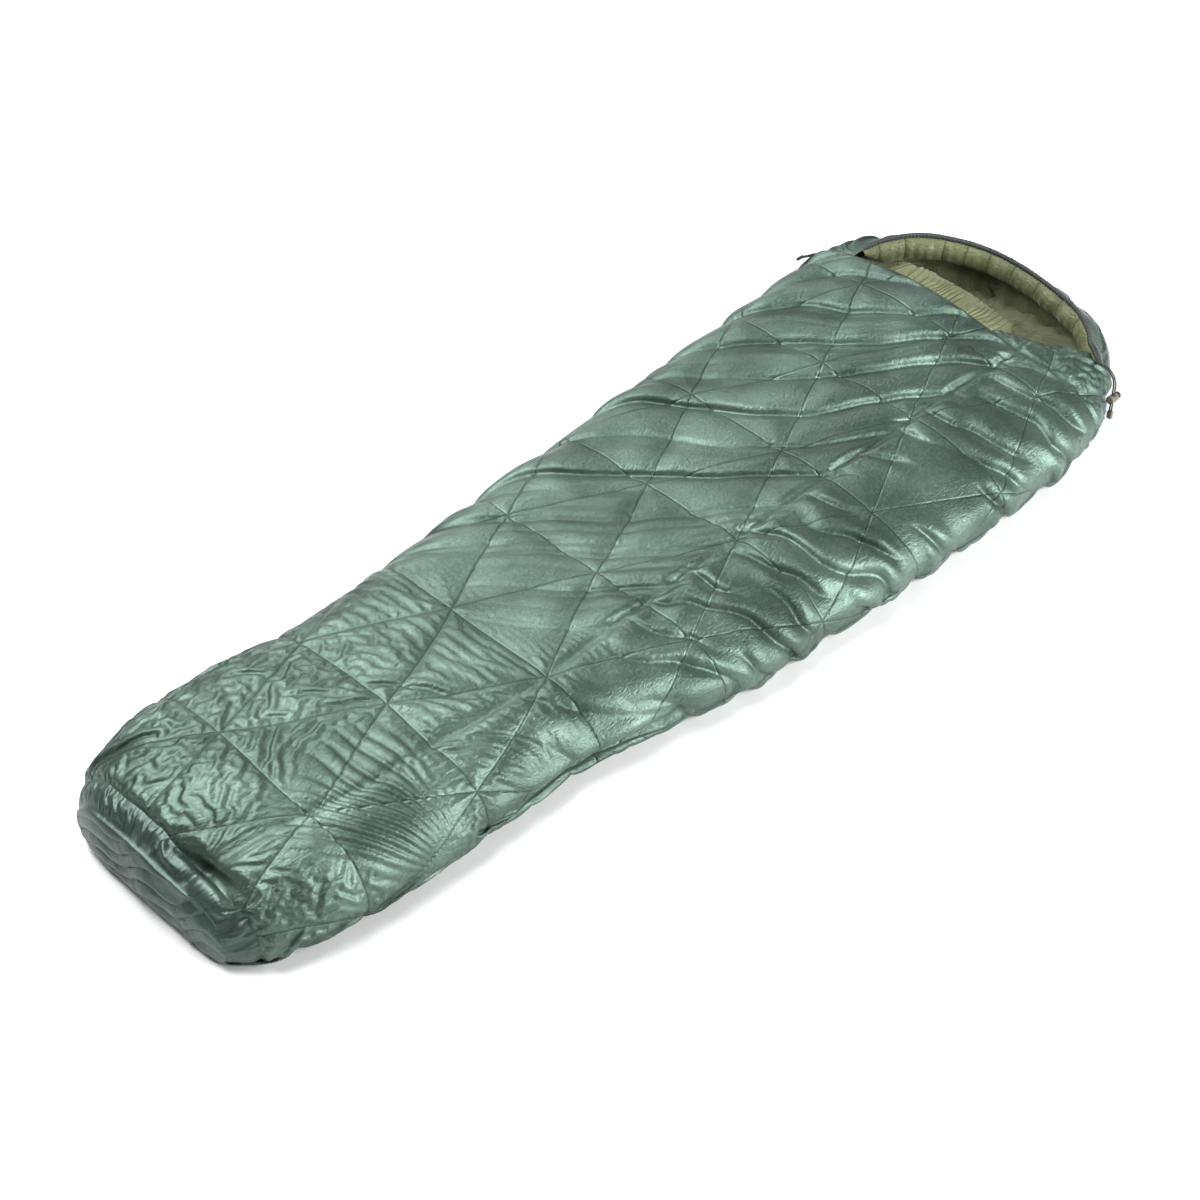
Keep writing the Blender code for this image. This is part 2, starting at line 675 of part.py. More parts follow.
# ---------------------------------------------------------------- drawcord tail and cord lock
def drawcord_tail(bag):
    cord = principled("drawcord_tail", CHARCOAL, 0.75)
    for name, route in (("outer", TAIL_ROUTE_OUTER), ("inner", TAIL_ROUTE_INNER)):
        tube(f"drawcord_tail_{name}", [(TAIL_X, y, z) for y, z in route], CORD_RADIUS, cord, bag)
    plastic = principled("cord_end_tab", GREY_BROWN, 0.5)
    bottom = TAIL_ROUTE_OUTER[-1][1] - SMALL
    low = (TAIL_X - 0.0035, LOCK_CENTRE[1] - 0.0050, bottom - 0.016)
    high = (TAIL_X + 0.0035, LOCK_CENTRE[1] + 0.0050, bottom)
    block("cord_end_tab", low, high, plastic, bag, bevel=0.0012)


def cord_lock(bag, cutters):
    """A barrel with a blind bore; both strands cross it. The plunger presses in along -X."""
    plastic = principled("cord_lock_body", GREY_BROWN, 0.45)
    centre = Vector(LOCK_CENTRE)
    frame = Matrix.Translation(centre)
    slot_x, slot_y = LOCK_SLOT
    ends = ((-LOCK_HALF_LENGTH, 0, 0), (LOCK_HALF_LENGTH, 0, 0))
    body = cylinder("cord_lock_body", *ends, LOCK_RADIUS, plastic, bag, frame, 24)
    bore_ends = ((-LOCK_HALF_LENGTH + LOCK_FLOOR, 0, 0), (0.02, 0, 0))
    bore = cylinder("lock_bore", *bore_ends, LOCK_BORE, plastic, bag, frame)
    combine(body, bore, "DIFFERENCE", cutters)
    body_slot = block("lock_slot", (-slot_x, -slot_y, -0.02), (slot_x, slot_y, 0.02), plastic, bag, frame)
    combine(body, body_slot, "DIFFERENCE", cutters)

    button = principled("cord_lock_plunger", CHARCOAL, 0.45)
    outer_end = LOCK_HALF_LENGTH + PLUNGER_TRAVEL + 0.0010
    ends = ((PLUNGER_INNER_END, 0, 0), (outer_end, 0, 0))
    plunger = cylinder("cord_lock_plunger", *ends, PLUNGER_RADIUS, button, bag, frame)
    cap_ends = ((outer_end - 0.0004, 0, 0), (outer_end + 0.0022, 0, 0))
    cap = cylinder("plunger_cap", *cap_ends, PLUNGER_CAP, button, bag, frame)
    combine(plunger, cap, "UNION", cutters)
    low = (-slot_x, -slot_y, -0.02)
    high = (slot_x + PLUNGER_TRAVEL, slot_y, 0.02)
    plunger_slot = block("plunger_slot", low, high, button, bag, frame)
    combine(plunger, plunger_slot, "DIFFERENCE", cutters)


def cord_lock_spring(bag):
    """A short coil spring behind the plunger."""
    turns, per_turn = 4, 10
    x, y, z = LOCK_CENTRE
    start = x - LOCK_HALF_LENGTH + LOCK_FLOOR + 2 * SMALL
    length = 0.0033
    points = []
    for k in range(turns * per_turn + 1):
        angle = 2 * math.pi * k / per_turn
        along = start + length * k / (turns * per_turn)
        points.append((along, y + SPRING_RADIUS * math.cos(angle), z + SPRING_RADIUS * math.sin(angle)))
    tube("cord_lock_spring", points, SPRING_WIRE, principled("cord_lock_spring", STEEL, 0.3, 1.0), bag)


def main():
    clear_scene()
    bag = new_collection("mummy_sleeping_bag")
    cutters = new_collection("cutters")
    quilt("top", BODY_STATIONS, ZIP_HIGH, ROUND, SAGE, bag)
    quilt("side", BODY_STATIONS, CREASE, NEAR_SEAM, SAGE, bag)
    quilt("bottom", BODY_STATIONS, NEAR_SEAM, ZIP_LOW, DARK_SAGE, bag)
    footbox(bag)
    hood(bag, cutters)
    hood_drawcord_channel(bag)
    hood_drawcord(bag)
    frame = zip_frame()
    zip_tapes_and_coils(bag, frame)
    zip_stops(bag, frame)
    zip_slider(bag, cutters, frame)
    zip_pull("zip_pull_outer", OUTER_PIVOT, 0.034, 0.0028, 0.0014, 1, bag, cutters, frame)
    zip_pull("zip_pull_inner", INNER_PIVOT, 0.022, 0.0024, 0.0012, -1, bag, cutters, frame)
    draft_tube(bag, frame)
    draft_collar(bag)
    closure_tab(bag)
    closure_loop_patch(bag)
    drawcord_tail(bag)
    cord_lock(bag, cutters)
    cord_lock_spring(bag)


main()
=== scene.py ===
"""The looks of the mummy sleeping bag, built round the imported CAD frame.

Metres, in the frame's own axes: +X from the foot end to the head, +Y to the zip, +Z up.
"along" is the distance from the foot end, and "girth" the distance round a section from
the lengthwise seam, positive over the top to the zip and negative down the near side.
"""

import math
from contextlib import contextmanager

import bmesh
import bpy
import numpy as np
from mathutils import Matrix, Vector


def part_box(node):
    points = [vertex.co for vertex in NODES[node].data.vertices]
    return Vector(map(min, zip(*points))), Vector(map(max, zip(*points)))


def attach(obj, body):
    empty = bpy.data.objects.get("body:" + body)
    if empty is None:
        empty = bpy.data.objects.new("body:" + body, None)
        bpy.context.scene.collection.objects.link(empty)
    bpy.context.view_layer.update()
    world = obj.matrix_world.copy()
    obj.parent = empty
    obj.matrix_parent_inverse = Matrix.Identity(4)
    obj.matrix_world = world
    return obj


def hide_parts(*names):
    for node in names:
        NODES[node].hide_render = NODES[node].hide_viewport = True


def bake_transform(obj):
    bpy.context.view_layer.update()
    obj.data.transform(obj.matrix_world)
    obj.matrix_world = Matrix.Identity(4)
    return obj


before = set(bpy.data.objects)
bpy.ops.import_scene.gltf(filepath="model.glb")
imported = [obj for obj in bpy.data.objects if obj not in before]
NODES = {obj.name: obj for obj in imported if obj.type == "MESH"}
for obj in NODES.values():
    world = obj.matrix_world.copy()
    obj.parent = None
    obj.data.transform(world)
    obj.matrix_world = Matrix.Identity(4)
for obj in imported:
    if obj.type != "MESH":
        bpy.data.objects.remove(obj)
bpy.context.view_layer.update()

# ---------------------------------------------------------------- sizes, as in the CAD
LENGTH = 2.20
FOOTBOX_END = 0.50
HEAD_EDGE = 1.93
ZIP_FOOT = (0.250, 0.075)
ZIP_HEAD = (0.362, 0.090)
ZIP_CHANNEL_HALF = 0.007
ZIP_START, ZIP_GONE, SLIDER_HOME = 0.515, 1.95, 1.900
CREASE_YZ = (-0.150, 0.140)
# Along, near and far half-widths, widest height, lengthwise seam (y, z), rise of the crown.
STATIONS = np.array((
    (0.00, 0.185, 0.190, 0.055, -0.080, 0.105, 0.010),
    (0.04, 0.222, 0.226, 0.062, -0.095, 0.130, 0.016),
    (0.10, 0.243, 0.249, 0.068, -0.115, 0.150, 0.020),
    (0.30, 0.273, 0.270, 0.072, -0.145, 0.146, 0.016),
    (0.50, 0.272, 0.250, 0.075, -0.150, 0.140, 0.012),
    (0.62, 0.262, 0.260, 0.076, -0.150, 0.140, 0.007),
    (0.76, 0.288, 0.271, 0.078, -0.150, 0.140, 0.002),
    (0.92, 0.328, 0.283, 0.079, -0.150, 0.140, -0.004),
    (1.15, 0.350, 0.301, 0.082, -0.150, 0.140, -0.005),
    (1.45, 0.364, 0.324, 0.085, -0.150, 0.140, 0.006),
    (1.68, 0.366, 0.342, 0.087, -0.150, 0.140, 0.020),
    (1.83, 0.359, 0.354, 0.089, -0.150, 0.140, 0.031),
    (1.93, 0.341, 0.362, 0.090, -0.150, 0.140, 0.036),
    (2.02, 0.303, 0.335, 0.088, -0.140, 0.143, 0.033),
    (2.10, 0.250, 0.268, 0.082, -0.115, 0.142, 0.025),
    (2.16, 0.180, 0.188, 0.074, -0.080, 0.126, 0.015),
    (2.20, 0.095, 0.100, 0.060, -0.040, 0.096, 0.004),
))
SLOPES = np.gradient(STATIONS[:, 1:], STATIONS[:, 0], axis=0)
NEAR_WIDEST = 0.68
ROLL_NEAR = 0.046
ROLL_FAR = 0.056
SHOULDER = 1.35
# The face opening: half-width, depth, power of its curve, and where its rim ends (degrees).
MOUTH_FAR = 0.262
MOUTH_DEPTH = 0.215
MOUTH_POWER = 2.4
MOUTH_NEAR_END = 148.0

# ---------------------------------------------------------------- cords, as in the CAD
TAIL_X = 0.920
TAIL_ROUTES = {
    "outer": (
        (-0.2830, 0.1330), (-0.2880, 0.1326), (-0.2940, 0.1311), (-0.3000, 0.1280),
        (-0.3055, 0.1236), (-0.3105, 0.1178), (-0.3140, 0.1112), (-0.3160, 0.1040),
        (-0.3167, 0.0960), (-0.3168, 0.0880), (-0.3168, 0.0800), (-0.3168, 0.0720),
        (-0.3168, 0.0640), (-0.3168, 0.0560), (-0.3168, 0.0480), (-0.3168, 0.0400),
    ),
    "inner": (
        (-0.2830, 0.1286), (-0.2878, 0.1282), (-0.2928, 0.1268), (-0.2975, 0.1242),
        (-0.3022, 0.1204), (-0.3066, 0.1154), (-0.3098, 0.1096), (-0.3117, 0.1030),
        (-0.3123, 0.0960), (-0.3124, 0.0880), (-0.3124, 0.0800), (-0.3124, 0.0720),
        (-0.3124, 0.0640), (-0.3124, 0.0560), (-0.3124, 0.0480), (-0.3124, 0.0400),
    ),
}
CORD_RADIUS = 0.0015


def new_object(name, data):
    obj = bpy.data.objects.new(name, data)
    bpy.context.scene.collection.objects.link(obj)
    return obj


# ---------------------------------------------------------------- camera
def make_camera():
    """The photograph's view: over the foot end and the near side, from 42 degrees up."""
    azimuth, elevation, distance = math.radians(-44.7), math.radians(42.0), 4.11
    target = Vector((-0.18, -0.045, 0.08))
    back = Vector((
        math.sin(azimuth) * math.cos(elevation),
        -math.cos(azimuth) * math.cos(elevation),
        math.sin(elevation),
    ))
    data = bpy.data.cameras.new("camera")
    data.lens = 72.0
    data.sensor_width = 36.0
    camera = new_object("camera", data)
    camera.location = target + back * distance
    camera.rotation_mode = "QUATERNION"
    camera.rotation_quaternion = (-back).to_track_quat("-Z", "Y")
    bpy.context.scene.camera = camera


# ---------------------------------------------------------------- noise
def lattice_noise(x, y, seed):
    """Smooth noise from -1 to 1 with features one unit across."""
    column, row = np.floor(x).astype(np.int64), np.floor(y).astype(np.int64)
    fx, fy = x - column, y - row
    fx, fy = fx * fx * (3 - 2 * fx), fy * fy * (3 - 2 * fy)

    def corner(dx, dy):
        mixed = (column + dx) * 374761393 + (row + dy) * 668265263 + seed * 2246822519
        mixed = (mixed ^ (mixed >> 13)) * 1274126177 & 0xFFFFFFFF
        return ((mixed ^ (mixed >> 16)) & 0xFFFF) / 32767.5 - 1.0

    low = corner(0, 0) * (1 - fx) + corner(1, 0) * fx
    high = corner(0, 1) * (1 - fx) + corner(1, 1) * fx
    return low * (1 - fy) + high * fy


def layered_noise(x, y, size, seed, layers=3):
    total, weight = 0.0, 1.0
    for layer in range(layers):
        total = total + weight * lattice_noise(x / size, y / size, seed + 17 * layer)
        size, weight = size / 2.03, weight * 0.5
    return total / 1.75


# ---------------------------------------------------------------- sections of the bag
def section_at(along):
    """Half-widths, widest height, seam place and crown of a section."""
    places = STATIONS[:, 0]
    high = int(np.clip(np.searchsorted(places, along), 1, len(places) - 1))
    low = high - 1
    step = places[high] - places[low]
    t = (along - places[low]) / step
    ends, tilt = STATIONS[[low, high], 1:], SLOPES[[low, high]] * step
    near, far, widest, crease_y, crease_z, rise = (
        (2 * t**3 - 3 * t**2 + 1) * ends[0]
        + (t**3 - 2 * t**2 + t) * tilt[0]
        + (3 * t**2 - 2 * t**3) * ends[1]
        + (t**3 - t**2) * tilt[1]
    )
    if FOOTBOX_END <= along <= HEAD_EDGE:
        part = (along - FOOTBOX_END) / (HEAD_EDGE - FOOTBOX_END)
        far = ZIP_FOOT[0] + part * (ZIP_HEAD[0] - ZIP_FOOT[0])
        widest = ZIP_FOOT[1] + part * (ZIP_HEAD[1] - ZIP_FOOT[1])
        crease_y, crease_z = CREASE_YZ
    return near, far, widest, crease_y, crease_z, rise


def distances(line):
    """Distance of each point of a line from its start."""
    return np.concatenate([[0], np.cumsum(np.linalg.norm(np.diff(line, axis=0), axis=1))])


def even_steps(points, count):
    """Points at equal distances along a line."""
    points = np.array(points)
    lengths = distances(points)
    places = np.linspace(0, lengths[-1], count + 1)
    return np.stack([np.interp(places, lengths, points[:, k]) for k in range(points.shape[1])], axis=1)


def smooth_step(value, low, high):
    t = np.clip((value - low) / (high - low), 0, 1)
    return t * t * (3 - 2 * t)


def bump(value, centre, width):
    return np.exp(-(((value - centre) / width) ** 2))


def channel_share(along):
    """0 where the section has no zip, and 1 where it does."""
    begins = smooth_step(along, ZIP_START - 0.02, ZIP_START)
    return float(begins * (1 - smooth_step(along, HEAD_EDGE, ZIP_GONE)))


def section_stretches(along, steps=48):
    """The outer line as three stretches of (y, z): near seam to lengthwise seam, on to the
    zip, and from the zip round the floor back to the near seam; then the zip's own band."""
    near, far, widest, crease_y, crease_z, rise = section_at(along)
    near_z = NEAR_WIDEST * widest
    side = []
    for angle in np.linspace(math.pi / 6, 0, 9)[:-1]:
        side.append((-near + ROLL_NEAR * (1 - math.cos(angle)), near_z * (1 - math.sin(angle))))
    for angle in np.linspace(math.pi / 2, 0, steps):
        side.append((crease_y - (near + crease_y) * math.sin(angle),
                     near_z + (crease_z - near_z) * math.cos(angle)))

    def crown(y):
        return crease_z + rise * math.sin(math.pi * (y - crease_y) / (far - crease_y))

    shoulder = SHOULDER * (crease_z - widest)
    share = channel_share(along)
    top = [(y, crown(y)) for y in np.linspace(crease_y, far - shoulder, steps)[:-1]]
    high_end = share * math.asin(min(1, ZIP_CHANNEL_HALF / (crease_z - widest)))
    for angle in np.linspace(math.pi / 2, high_end, steps):
        y = far - shoulder * (1 - math.cos(angle))
        top.append((y, widest + (crown(y) - widest) * math.sin(angle)))
    low = []
    low_end = share * math.asin(ZIP_CHANNEL_HALF / widest)
    for angle in np.linspace(low_end, math.pi / 2, steps):
        low.append((far - ROLL_FAR * (1 - math.cos(angle)), widest * (1 - math.sin(angle))))
    floor = [(y, 0.0) for y in np.linspace(far - ROLL_FAR, -near + ROLL_NEAR, 12)[1:]]
    roll = []
    for angle in np.linspace(math.pi / 2, math.pi / 6, 9)[1:]:
        roll.append((-near + ROLL_NEAR * (1 - math.cos(angle)), near_z * (1 - math.sin(angle))))
    return side, top, low, floor, roll


# Columns of the cover's grid at its finest.
SIDE_COLUMNS, TOP_COLUMNS, BAND_COLUMNS = 60, 132, 4
LOW_COLUMNS, FLOOR_COLUMNS, ROLL_COLUMNS = 28, 24, 16
CREASE_COLUMN = SIDE_COLUMNS
ZIP_HIGH_COLUMN = CREASE_COLUMN + TOP_COLUMNS
ZIP_LOW_COLUMN = ZIP_HIGH_COLUMN + BAND_COLUMNS
FLOOR_COLUMN = ZIP_LOW_COLUMN + LOW_COLUMNS
ROLL_COLUMN = FLOOR_COLUMN + FLOOR_COLUMNS
COLUMNS = ROLL_COLUMN + ROLL_COLUMNS


def section_ring(along):
    """One closed ring of the grid: the near seam first, then up and over to the zip, down
    the far side and back along the floor."""
    side, top, low, floor, roll = section_stretches(along)
    side, top = even_steps(side, SIDE_COLUMNS), even_steps(top, TOP_COLUMNS)
    low = even_steps(low, LOW_COLUMNS)
    band = even_steps([top[-1], low[0]], BAND_COLUMNS)
    floor = even_steps([tuple(low[-1]), *floor], FLOOR_COLUMNS)
    roll = even_steps([tuple(floor[-1]), *roll, tuple(side[0])], ROLL_COLUMNS)
    return np.vstack([side[:-1], top[:-1], band[:-1], low[:-1], floor[:-1], roll[:-1]])


def ring_grid(places):
    """Rings at several places along the bag, as an array of rows, columns and xyz."""
    return np.array([
        np.column_stack([np.full(COLUMNS, along - LENGTH / 2), section_ring(along)]) for along in places
    ])


def grid_normals(points):
    """Outward unit normals of a grid whose columns run round the bag. They look three
    columns to each side, as columns meet where the zip's band closes."""
    around = np.roll(points, -3, axis=1) - np.roll(points, 3, axis=1)
    normals = np.cross(np.gradient(points, axis=0), around)
    return normals / (np.linalg.norm(normals, axis=2, keepdims=True) + 1e-12)


def girth_of(points):
    """Distance round each ring from the lengthwise seam."""
    steps = np.linalg.norm(np.diff(points, axis=1), axis=2)
    girth = np.concatenate([np.zeros((len(points), 1)), np.cumsum(steps, axis=1)], axis=1)
    return girth - girth[:, CREASE_COLUMN:CREASE_COLUMN + 1]


# ---------------------------------------------------------------- quilting lines
LINE_STEP = 0.235
LINE_FIRST = 0.21
LINE_SLOPE = 0.47
LINE_APART = 0.22


def quilt_offsets(along, girth):
    """Signed distances to the nearest line of each family, smooth between the lines."""
    wobble = 0.006 * lattice_noise(along / 0.21, girth / 0.17, 5)
    turn = math.hypot(1, LINE_SLOPE)
    families = [(along + wobble - LINE_FIRST, LINE_STEP, 1.0)]
    for slope in (LINE_SLOPE, -LINE_SLOPE):
        place = girth + wobble - slope * (along - LINE_FIRST - 4 * LINE_STEP)
        families.append((place, LINE_APART, turn))
    return np.stack([
        np.sin(math.pi * place / apart) * apart / math.pi / turned for place, apart, turned in families
    ], axis=-1)


# ---------------------------------------------------------------- cloth
FLOOR_GAP = 0.0006


class Cloth:
    """A grid of points joined by threads that keep their length, relaxed step by step."""

    def __init__(self, base, normals, growth_round, growth_along):
        self.base = base
        self.normals = normals
        self.threads = []
        both = (growth_round + growth_along) / 2
        self.add(0, 1, growth_round, 1.0)
        self.add(1, 0, growth_along, 1.0)
        self.add(1, 1, both, 0.35)
        self.add(1, -1, both, 0.35)
        self.add(0, 2, growth_round, 0.16)
        self.add(2, 0, growth_along, 0.16)

    def add(self, down, over, growth, strength):
        """Threads from each point to the one that many rows down and columns over, in two
        sets that share no point."""
        rows, columns = self.base.shape[0] - down, self.base.shape[1]
        every_row, every_column = np.arange(rows), np.arange(columns)
        for phase in range(2):
            if over:
                one_rows = every_row
                picks = every_column[every_column % (2 * abs(over)) // abs(over) == phase]
            else:
                one_rows = every_row[every_row % (2 * down) // down == phase]
                picks = every_column
            one = np.ix_(one_rows, picks)
            other = np.ix_(one_rows + down, (picks + over) % columns)
            if abs(over) == 2 or down == 2:
                middle = np.ix_(one_rows + down // 2, (picks + over // 2) % columns)
                length = self.span(one, middle) + self.span(middle, other)
            else:
                length = self.span(one, other)
            self.threads.append((one, other, length * (1 + growth[one]), strength))

    def span(self, one, other):
        return np.linalg.norm(self.base[other] - self.base[one], axis=-1)

    def relax(self, points, steps, hold, target, deepest, highest):
        """Lets the cloth settle. hold pulls each point to its target height over the base,
        and a hold of 1 fixes the point."""
        push, damping = 0.00002, 0.9
        before = points.copy()
        fixed = hold >= 1
        soft = np.where(fixed, 0, hold)[..., None]
        for _ in range(steps):
            moved = points + (points - before) * damping + self.normals * push
            before = points
            points = moved
            for one, other, length, strength in self.threads:
                run = points[other] - points[one]
                now = np.sqrt((run * run).sum(-1)) + 1e-9
                pull = (0.5 * strength * (now - length) / now)[..., None] * run
                points[one] += pull
                points[other] -= pull
            height = ((points - self.base) * self.normals).sum(-1)
            points += self.normals * ((target - height)[..., None] * soft)
            excess = np.clip(height, deepest, highest) - height
            points += self.normals * excess[..., None]
            points[..., 2] = np.maximum(points[..., 2], FLOOR_GAP)
            points[fixed] = (self.base + self.normals * target[..., None])[fixed]
        return points


def finer(values):
    """Doubles a closed grid's rows and columns."""
    rows = values.shape[0]
    out = np.zeros((2 * rows - 1, *values.shape[1:]))
    out[::2] = values
    padded = np.concatenate([values[:1], values, values[-1:]])
    out[1::2] = (9 * (padded[1:-2] + padded[2:-1]) - padded[:-3] - padded[3:]) / 16
    wide = np.zeros((out.shape[0], 2 * out.shape[1], *out.shape[2:]))
    wide[:, ::2] = out
    after, beyond, behind = (np.roll(out, shift, axis=1) for shift in (-1, -2, 1))
    wide[:, 1::2] = (9 * (out + after) - behind - beyond) / 16
    return wide


COVER_ROWS = 4 * 121 + 1
# The end panel reaches round to this row.
END_ROWS = 9
END_SEAM = END_ROWS * HEAD_EDGE / (COVER_ROWS - 1)


def cover_seed(along, girth):
    """The first hint of small folds, which the cloth then grows into full ones."""
    foot = 1 - smooth_step(along, 0.45, 0.80)
    rough = layered_noise(along, girth, 0.060, 31, 2)
    middle = layered_noise(along * 0.6, girth * 1.3, 0.085, 41, 2)
    return (0.0024 * rough + 0.0030 * middle) * (1 + 0.8 * foot)


def pillow(place, skew=0.75, sharp=0.65):
    """Rows of soft pillows with narrow valleys between them, from 0 to 1."""
    part = (place - np.floor(place)) ** skew
    return np.sin(math.pi * part) ** sharp


def patches(along, girth, long, wide, seed):
    """Where a set of folds shows, from 0 to 1."""
    return smooth_step(lattice_noise(along / long, girth / wide, seed), -0.55, 0.35)


def laid_folds(along, girth):
    """Heights of the wide and of the narrow folds the bag is laid in, and how firmly they
    are set."""
    lid = smooth_step(girth, -0.04, 0.02)
    torso = smooth_step(along, 0.62, 1.00)
    warp = 0.055 * layered_noise(along / 1.5, girth, 0.20, 11, 2)
    # On the lid: long folds from the near shoulder towards the far knee.
    across = 0.703 * along + 0.711 * girth + warp
    strength = 0.45 + 0.55 * patches(across, along, 0.10, 0.45, 13)
    long_folds = 0.0200 * (pillow(across / 0.098, 0.62) - 0.62) * strength
    narrow = 0.0040 * (pillow(across / 0.034 + 0.4) - 0.6) * patches(across, along, 0.06, 0.25, 14)
    # On the near side: short folds that fall from the seam, and lean to the head.
    fall = 0.85 * along + 0.53 * girth + 0.7 * warp
    fall = fall + 0.018 * lattice_noise(along / 0.05, girth / 0.07, 17)
    leaves = 0.0200 * (pillow(fall / 0.066, 0.7, 0.7) - 0.60) * patches(along, girth, 0.06, 0.12, 15)
    # At the foot: narrow folds that fan out from the near edge.
    below, ahead = girth + 0.235, along - 0.395
    turn = np.arctan2(below, ahead) + 0.10 * lattice_noise(along / 0.10, girth / 0.10, 21)
    reach = np.hypot(below, ahead)
    fan = smooth_step(turn, 1.35, 1.75) * (1 - smooth_step(turn, 2.35, 2.75))
    fan = fan * smooth_step(reach, 0.03, 0.07) * (1 - smooth_step(reach, 0.26, 0.38))
    fan_folds = 0.0085 * (pillow(turn * 10.5, 0.9, 0.8) - 0.55) * fan
    knee = bump(along, 0.70, 0.22) * patches(across, along, 0.10, 0.20, 16)
    knee_folds = 0.0090 * (pillow(across / 0.075 + 0.3) - 0.6) * knee
    wide = torso * (lid * long_folds + (1 - lid) * leaves) + knee_folds
    narrow = torso * lid * narrow + fan_folds
    firm = 0.012 + 0.15 * fan + 0.085 * torso
    return wide, narrow, firm


def cover_growth(along, girth):
    """How much longer the cloth is than the surface, round the bag and along it."""
    lid = smooth_step(girth, -0.04, 0.02) * smooth_step(along, 0.55, 0.95)
    foot = 1 - smooth_step(along, 0.35, 0.70)
    flat = bump(along, 0.20, 0.07) * bump(girth, 0.0, 0.10)
    uneven = 0.5 + 0.5 * layered_noise(along, girth, 0.14, 51, 2)
    crease = bump(girth, 0.0, 0.030)
    round_bag = 0.022 - 0.008 * lid + 0.022 * foot + 0.016 * uneven - 0.025 * flat
    lengthwise = 0.022 - 0.008 * lid + 0.024 * foot + 0.016 * uneven - 0.025 * flat + 0.05 * crease
    return round_bag + 0.05 * bump(along, END_SEAM, 0.020), lengthwise


def cover_heights(along, girth, seam):
    """The puff between the quilting lines, the crease of the lengthwise seam, the pinch at
    the foot's near top corner, and the tuck under the near side."""
    puff = 0.0032 * (1 - np.exp(-((seam / 0.024) ** 2))) - 0.0012
    crease = bump(girth, 0.0, 0.010)
    pinch = bump(along, END_SEAM + 0.008, 0.015) * bump(girth, -0.015 - 0.6 * (along - 0.058), 0.050)
    tuck = smooth_step(along, 0.44, 0.56) * (1 - smooth_step(along, 0.72, 0.90))
    return puff, crease, pinch, tuck


def make_cover():
    """The whole outer cover up to the head edge as one cloth."""
    places = np.linspace(0, HEAD_EDGE, COVER_ROWS)
    base = ring_grid(places)
    normals = grid_normals(base)
    along = np.repeat(places[:, None], COLUMNS, axis=1)
    girth = girth_of(base)
    seams = quilt_offsets(along, girth)
    seam = np.abs(seams).min(axis=-1)
    puff, crease, pinch, tuck = cover_heights(along, girth, seam)
    folds, narrow, firm = laid_folds(along, girth)
    columns = np.tile(np.arange(COLUMNS, dtype=float), (COVER_ROWS, 1))
    under = tuck * bump(columns, 4.5, 3.2)
    over = tuck * (bump(columns, 14, 6.0) + bump(columns, COLUMNS - 4, 5.0))
    target = puff - 0.004 * crease - 0.024 * pinch + folds * (1 - crease) - 0.024 * under + 0.010 * over
    target = target - 0.005 * bump(along, END_SEAM, 0.006)
    deepest = -0.0080 - 0.020 * np.maximum(pinch, under)
    zip_band = (columns >= ZIP_HIGH_COLUMN) & (columns <= ZIP_LOW_COLUMN) & (along > ZIP_START - 0.03)
    on_floor = bump(columns, (FLOOR_COLUMN + ROLL_COLUMN) / 2 - 4, 13) * 0.5
    hold = 0.35 * np.exp(-((seam / 0.0035) ** 2)) + firm
    for grip in (0.5 * crease, 0.6 * pinch, 0.4 * bump(along, END_SEAM, 0.004),
                 0.3 * np.maximum(under, over), on_floor):
        hold = np.maximum(hold, grip)
    target = np.where(on_floor > 0.1, 0.0, target)
    hold[zip_band] = 1.0
    target[zip_band] = 0.0
    for rows in (slice(0, 2), slice(COVER_ROWS - 2, COVER_ROWS)):
        hold[rows] = 1.0
        target[rows] = 0.0
    round_bag, lengthwise = cover_growth(along, girth)
    offset = None
    # From a coarse grid to the full one: stride, steps, and how much more cloth to spare.
    for stride, steps, extra in ((4, 80, 1.0), (2, 60, 1.08), (1, 22, 1.25)):
        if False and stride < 2:
            continue
        pick = (slice(None, None, stride), slice(None, None, stride))
        if stride == 2:
            target = target + np.where((hold < 1) & (on_floor < 0.1), narrow, 0.0)
        cloth = Cloth(base[pick], normals[pick], extra * round_bag[pick], extra * lengthwise[pick])
        if offset is None:
            start = cover_seed(along, girth)[pick] + target[pick]
            points = cloth.base + cloth.normals * start[..., None]
        else:
            rough = layered_noise(along, girth, 0.010 * stride, 61 + stride, 2)[pick]
            points = cloth.base + finer(offset) + cloth.normals * (0.0004 * stride * rough)[..., None]
        points = cloth.relax(points, steps, hold[pick], target[pick], deepest[pick], 0.014)
        offset = points - cloth.base
    height = (offset * normals).sum(-1)
    return {"base": base, "points": base + offset, "along": along, "girth": girth, "seams": seams,
            "normals": normals, "height": height}


